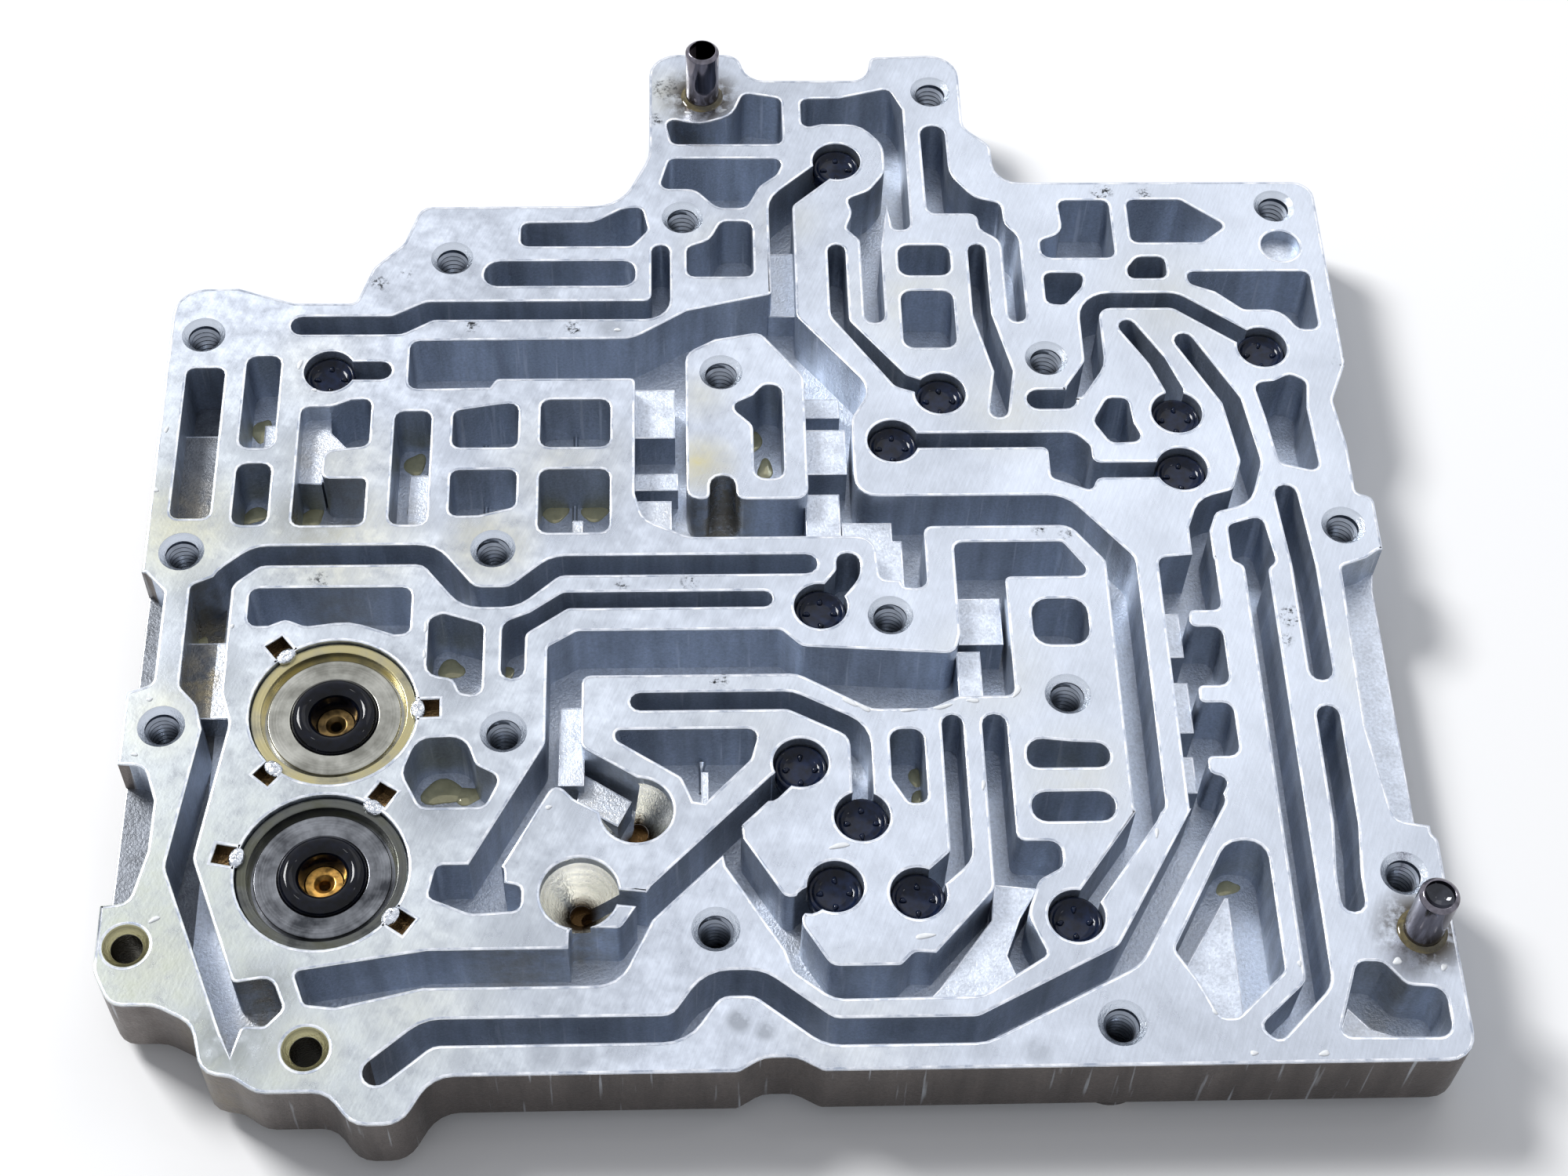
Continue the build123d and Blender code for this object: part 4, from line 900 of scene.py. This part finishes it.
class ValveBodyOil(bpy.types.Operator):
    """Old oil: drops on the face and in the pockets, coloured pale as painted highlights, and rings at the
    feet of the pins
    """
    bl_idname = "valve_body.oil"
    bl_label = "Old oil"

    def execute(self, context):
        look = context.scene.valve_body_casting
        # Profiles of radius and height: oil that creeps up a pin's foot, and oil that stands in its bore.
        s = np.linspace(0, 1, 8)
        collar = np.stack([2.75 + 1.0 * s, FACE - 0.02 + 0.7 * (1 - s) ** 2.4], -1)
        fill = np.stack([2.15 * s[::-1], 25.2 + 0.9 * s[::-1] ** 2], -1)
        clear = [drop_mesh(x, y, FACE, *shape) for x, y, *shape in CLEAR_OIL_DROP_HIGHLIGHTS]
        # Brown oil lies flatter than the clear drops and spreads a little wider; its drops are coloured pale
        # yellow as a painted highlight.
        brown = [
            drop_mesh(x, y, FLOOR + 0.05, long * 1.15, wide * 1.15, tall * 0.4, turn)
            for x, y, long, wide, tall, turn in FLOOR_OIL_DROP_HIGHLIGHTS
        ]
        feet = [turned_mesh(*spot, collar) for spot in PINS.values()]
        for name, meshes, tint, shade, metal in (
            ("clear_oil_drops", clear, look.drop, 0.9, 0.0),
            ("brown_oil_drops", brown, look.floor_drop_highlight, 0.8, 0.2),
            ("oil_at_pin_feet", feet, linear("#6a5f3a"), 0.45, 0.0),
            ("oil_in_front_pin", [turned_mesh(*PINS["front"], fill)], linear("#363842"), 0.6, 0.3),
            ("oil_in_rear_pin", [turned_mesh(*PINS["rear"], fill)], linear("#8d8389"), 0.7, 0.5),
        ):
            piece = joined(name, meshes)
            piece.data.shade_smooth()
            made, tree, shader, point = material(name.replace("drops", "film"))
            lit = ramp(tree, noise(tree, point, 0.9), 0.35, 0.65)
            tree.links.new(mixed(tree, lit, darker(tint, shade), tuple(tint)), shader.inputs["Base Color"])
            tune(shader, metal, 0.06)
            dress(piece, made)
            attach(piece, BODY)
        return {"FINISHED"}


class ValveBodyRibs(bpy.types.Operator):
    """Small cast ribs on the floors of the pockets"""
    bl_idname = "valve_body.ribs"
    bl_label = "Ejector ribs"

    def execute(self, context):
        piece = joined("ejector_ribs", [rib_mesh(*rib) for rib in EJECTOR_RIBS])
        piece.data.shade_smooth()
        made, tree, shader, point = material("cast_aluminium_rib")
        grain = noise(tree, point, 2.2, 3.0, 0.7)
        tree.links.new(mixed(tree, grain, linear("#aeb6c2"), linear("#eef1f5")), shader.inputs["Base Color"])
        tune(shader, 0.8, 0.3)
        dress(piece, made)
        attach(piece, BODY)
        return {"FINISHED"}


def turned_steel(name, centre, tint, shadow, rim_oil):
    """Turned steel under oil: fine rings about the cup's own axis, worked out from the distance to it."""
    made, tree, shader, point = material(name)
    away = distance(tree, level(tree, point), *centre)
    rings = ring_noise(tree, away, 3.0, 3.0)
    cloud = noise(tree, point, 0.22)
    both = maths(tree, "ADD", product(tree, rings, 0.15), cloud)
    plain = mixed(tree, ramp(tree, both, 0.4, 0.72), linear(shadow), tuple(tint))
    oiled = mixed(tree, ramp(tree, cloud, 0.35, 0.6, 0.3, 1.0), plain, linear(rim_oil))
    plain = mixed(tree, near(tree, away, CUP_RIM, "GREATER_THAN"), plain, oiled)
    tree.links.new(plain, shader.inputs["Base Color"])
    bump = add(tree, "Bump", {"Strength": 0.12, "Distance": 0.0001, "Height": rings})
    tree.links.new(bump.outputs[0], shader.inputs["Normal"])
    tune(shader, 0.9, 0.2)
    return made


class ValveBodyDampers(bpy.types.Operator):
    """Steel cups, rubber seals and brass jets of the dampers"""
    bl_idname = "valve_body.dampers"
    bl_label = "Dampers"

    def execute(self, context):
        look = context.scene.valve_body_dampers
        rubber, tree, shader, point = material("black_rubber_seal")
        tree.links.new(film(tree, point, look.seal, "#10131f"), shader.inputs["Base Color"])
        tune(shader, 0.0, 0.05)
        shader.inputs["Specular IOR Level"].default_value = 0.2
        rear, front = DAMPERS["rear"], DAMPERS["front"]
        cups = {
            "rear": turned_steel("turned_steel_rear_cup", rear, look.rear_cup, "#7d7c74", "#b5ab80"),
            "front": turned_steel("turned_steel_front_cup", front, look.front_cup, "#3a3c40", "#55564c"),
        }
        jets = {"rear": look.rear_jet, "front": look.front_jet}
        for name in DAMPERS:
            soften("damper_cup_" + name, 0.00018, cups[name], BODY)
            soften("damper_seal_" + name, 0.0003, rubber, BODY)
            brass, tree, shader, point = material("turned_brass_jet_" + name)
            smudge = ramp(tree, noise(tree, point, 0.9, 4.0, 0.5), 0.35, 0.6)
            tint = mixed(tree, smudge, darker(jets[name], 0.3), tuple(jets[name]))
            tree.links.new(tint, shader.inputs["Base Color"])
            tune(shader, 0.85, 0.3)
            soften("damper_jet_" + name, 0.00012, brass, BODY)
        return {"FINISHED"}


class ValveBodyStage(bpy.types.Operator):
    """Pale floor, soft light and the camera"""
    bl_idname = "valve_body.stage"
    bl_label = "Stage"

    def execute(self, context):
        look = context.scene.valve_body_studio
        scene = context.scene
        size = 3.0
        mesh = bpy.data.meshes.new("floor")
        corners = [(-size, -size, 0), (size, -size, 0), (size, size, 0), (-size, size, 0)]
        mesh.from_pydata(corners, [], [(0, 1, 2, 3)])
        floor = bpy.data.objects.new("floor", mesh)
        scene.collection.objects.link(floor)
        made, tree, shader, point = material("white_floor")
        out = tree.nodes["Material Output"]
        tree.nodes.remove(shader)
        matt = add(tree, "BsdfDiffuse", {"Color": tuple(look.floor)})
        glow = add(tree, "Emission", {"Color": tuple(look.floor), "Strength": 0.02})
        seen = add(tree, "AddShader", {0: matt.outputs[0], 1: glow.outputs[0]})
        grey = add(tree, "BsdfDiffuse", {"Color": linear("#c8c8c8")})
        # The floor throws less light on the part than it shows to the camera and in reflections.
        rays = add(tree, "LightPath").outputs
        direct = larger(tree, rays["Is Camera Ray"], rays["Is Glossy Ray"])
        final = add(tree, "MixShader", {0: direct, 1: grey.outputs[0], 2: seen.outputs[0]})
        tree.links.new(final.outputs[0], out.inputs["Surface"])
        dress(floor, made)

        world = bpy.data.worlds.new("studio")
        scene.world = world
        world.use_nodes = True
        tree = world.node_tree
        tree.nodes.clear()
        rays = add(tree, "LightPath").outputs
        direct = larger(tree, rays["Is Camera Ray"], rays["Is Transmission Ray"])
        direct = larger(tree, direct, rays["Is Glossy Ray"])
        strength = ramp(tree, direct, 0.0, 1.0, look.fill, 1.0)
        sky = add(tree, "Background", {"Color": linear("#f5f8ff"), "Strength": strength})
        out = add(tree, "OutputWorld")
        tree.links.new(sky.outputs[0], out.inputs["Surface"])

        lamp("key", (-1.0, 0.75, 1.3), (0.0, 0.0, 0.0), 0.5, look.key)
        lamp("glare", (0.4, 0.75, 1.05), (0.05, 0.0, 0.0), 0.7, look.key * 0.09)
        lamp("left_window", (-0.45, 0.35, 1.3), (0.0, 0.0, 0.0), 0.07, look.key * 0.012)
        lamp("right_window", (0.55, 0.1, 1.1), (0.0, 0.0, 0.0), 0.07, look.key * 0.012)

        camera = bpy.data.cameras.new("camera")
        camera.lens = look.lens
        camera.sensor_width = 36
        camera.shift_x, camera.shift_y = look.shift
        camera.clip_start = 0.01
        holder = bpy.data.objects.new("camera", camera)
        scene.collection.objects.link(holder)
        pitch, roll, yaw = look.turn
        turned = Matrix.Rotation(-yaw, 4, "Z") @ Matrix.Rotation(pitch, 4, "X")
        turned = turned @ Matrix.Rotation(roll, 4, "Z")
        holder.matrix_world = Matrix.Translation(look.spot) @ turned
        scene.camera = holder
        scene.view_settings.view_transform = "Standard"
        return {"FINISHED"}


def lamp(name, spot, target, size, strength):
    """Square area lamp that looks at a point. Its power keeps the light at the target at the given level."""
    data = bpy.data.lights.new(name, "AREA")
    data.size = size
    beam = Vector(target) - Vector(spot)
    data.energy = strength * math.pi * beam.length * beam.length
    holder = bpy.data.objects.new(name, data)
    holder.matrix_world = Matrix.Translation(spot) @ beam.to_track_quat("-Z", "Y").to_matrix().to_4x4()
    bpy.context.scene.collection.objects.link(holder)


class ValveBodyPanel(bpy.types.Panel):
    """Steps and looks of the valve body"""
    bl_idname = "VIEW3D_PT_valve_body"
    bl_label = "Valve Body"
    bl_space_type = "VIEW_3D"
    bl_region_type = "UI"
    bl_category = "Valve Body"

    def draw(self, context):
        for step in STEPS:
            self.layout.operator(step.bl_idname)
        for name, group in LOOKS.items():
            box = self.layout.box()
            settings = getattr(context.scene, name)
            for key in group.__annotations__:
                box.prop(settings, key)


LOOKS = {
    "valve_body_casting": CastingLook,
    "valve_body_screws": ScrewLook,
    "valve_body_dampers": DamperLook,
    "valve_body_small": SmallPartLook,
    "valve_body_studio": StudioLook,
}
STEPS = [
    ValveBodyStage, ValveBodyCasting, ValveBodyThreads, ValveBodyStakes, ValveBodyCheckValves, ValveBodyPins,
    ValveBodyDampers, ValveBodyOil, ValveBodyRibs,
]


def register():
    for name, group in LOOKS.items():
        bpy.utils.register_class(group)
        setattr(bpy.types.Scene, name, PointerProperty(type=group))
    for step in STEPS:
        bpy.utils.register_class(step)
    bpy.utils.register_class(ValveBodyPanel)


def unregister():
    bpy.utils.unregister_class(ValveBodyPanel)
    for step in reversed(STEPS):
        bpy.utils.unregister_class(step)
    for name, group in LOOKS.items():
        delattr(bpy.types.Scene, name)
        bpy.utils.unregister_class(group)


def main():
    register()
    for step in STEPS:
        category, name = step.bl_idname.split(".")
        getattr(getattr(bpy.ops, category), name)()


if __name__ == "__main__":
    main()
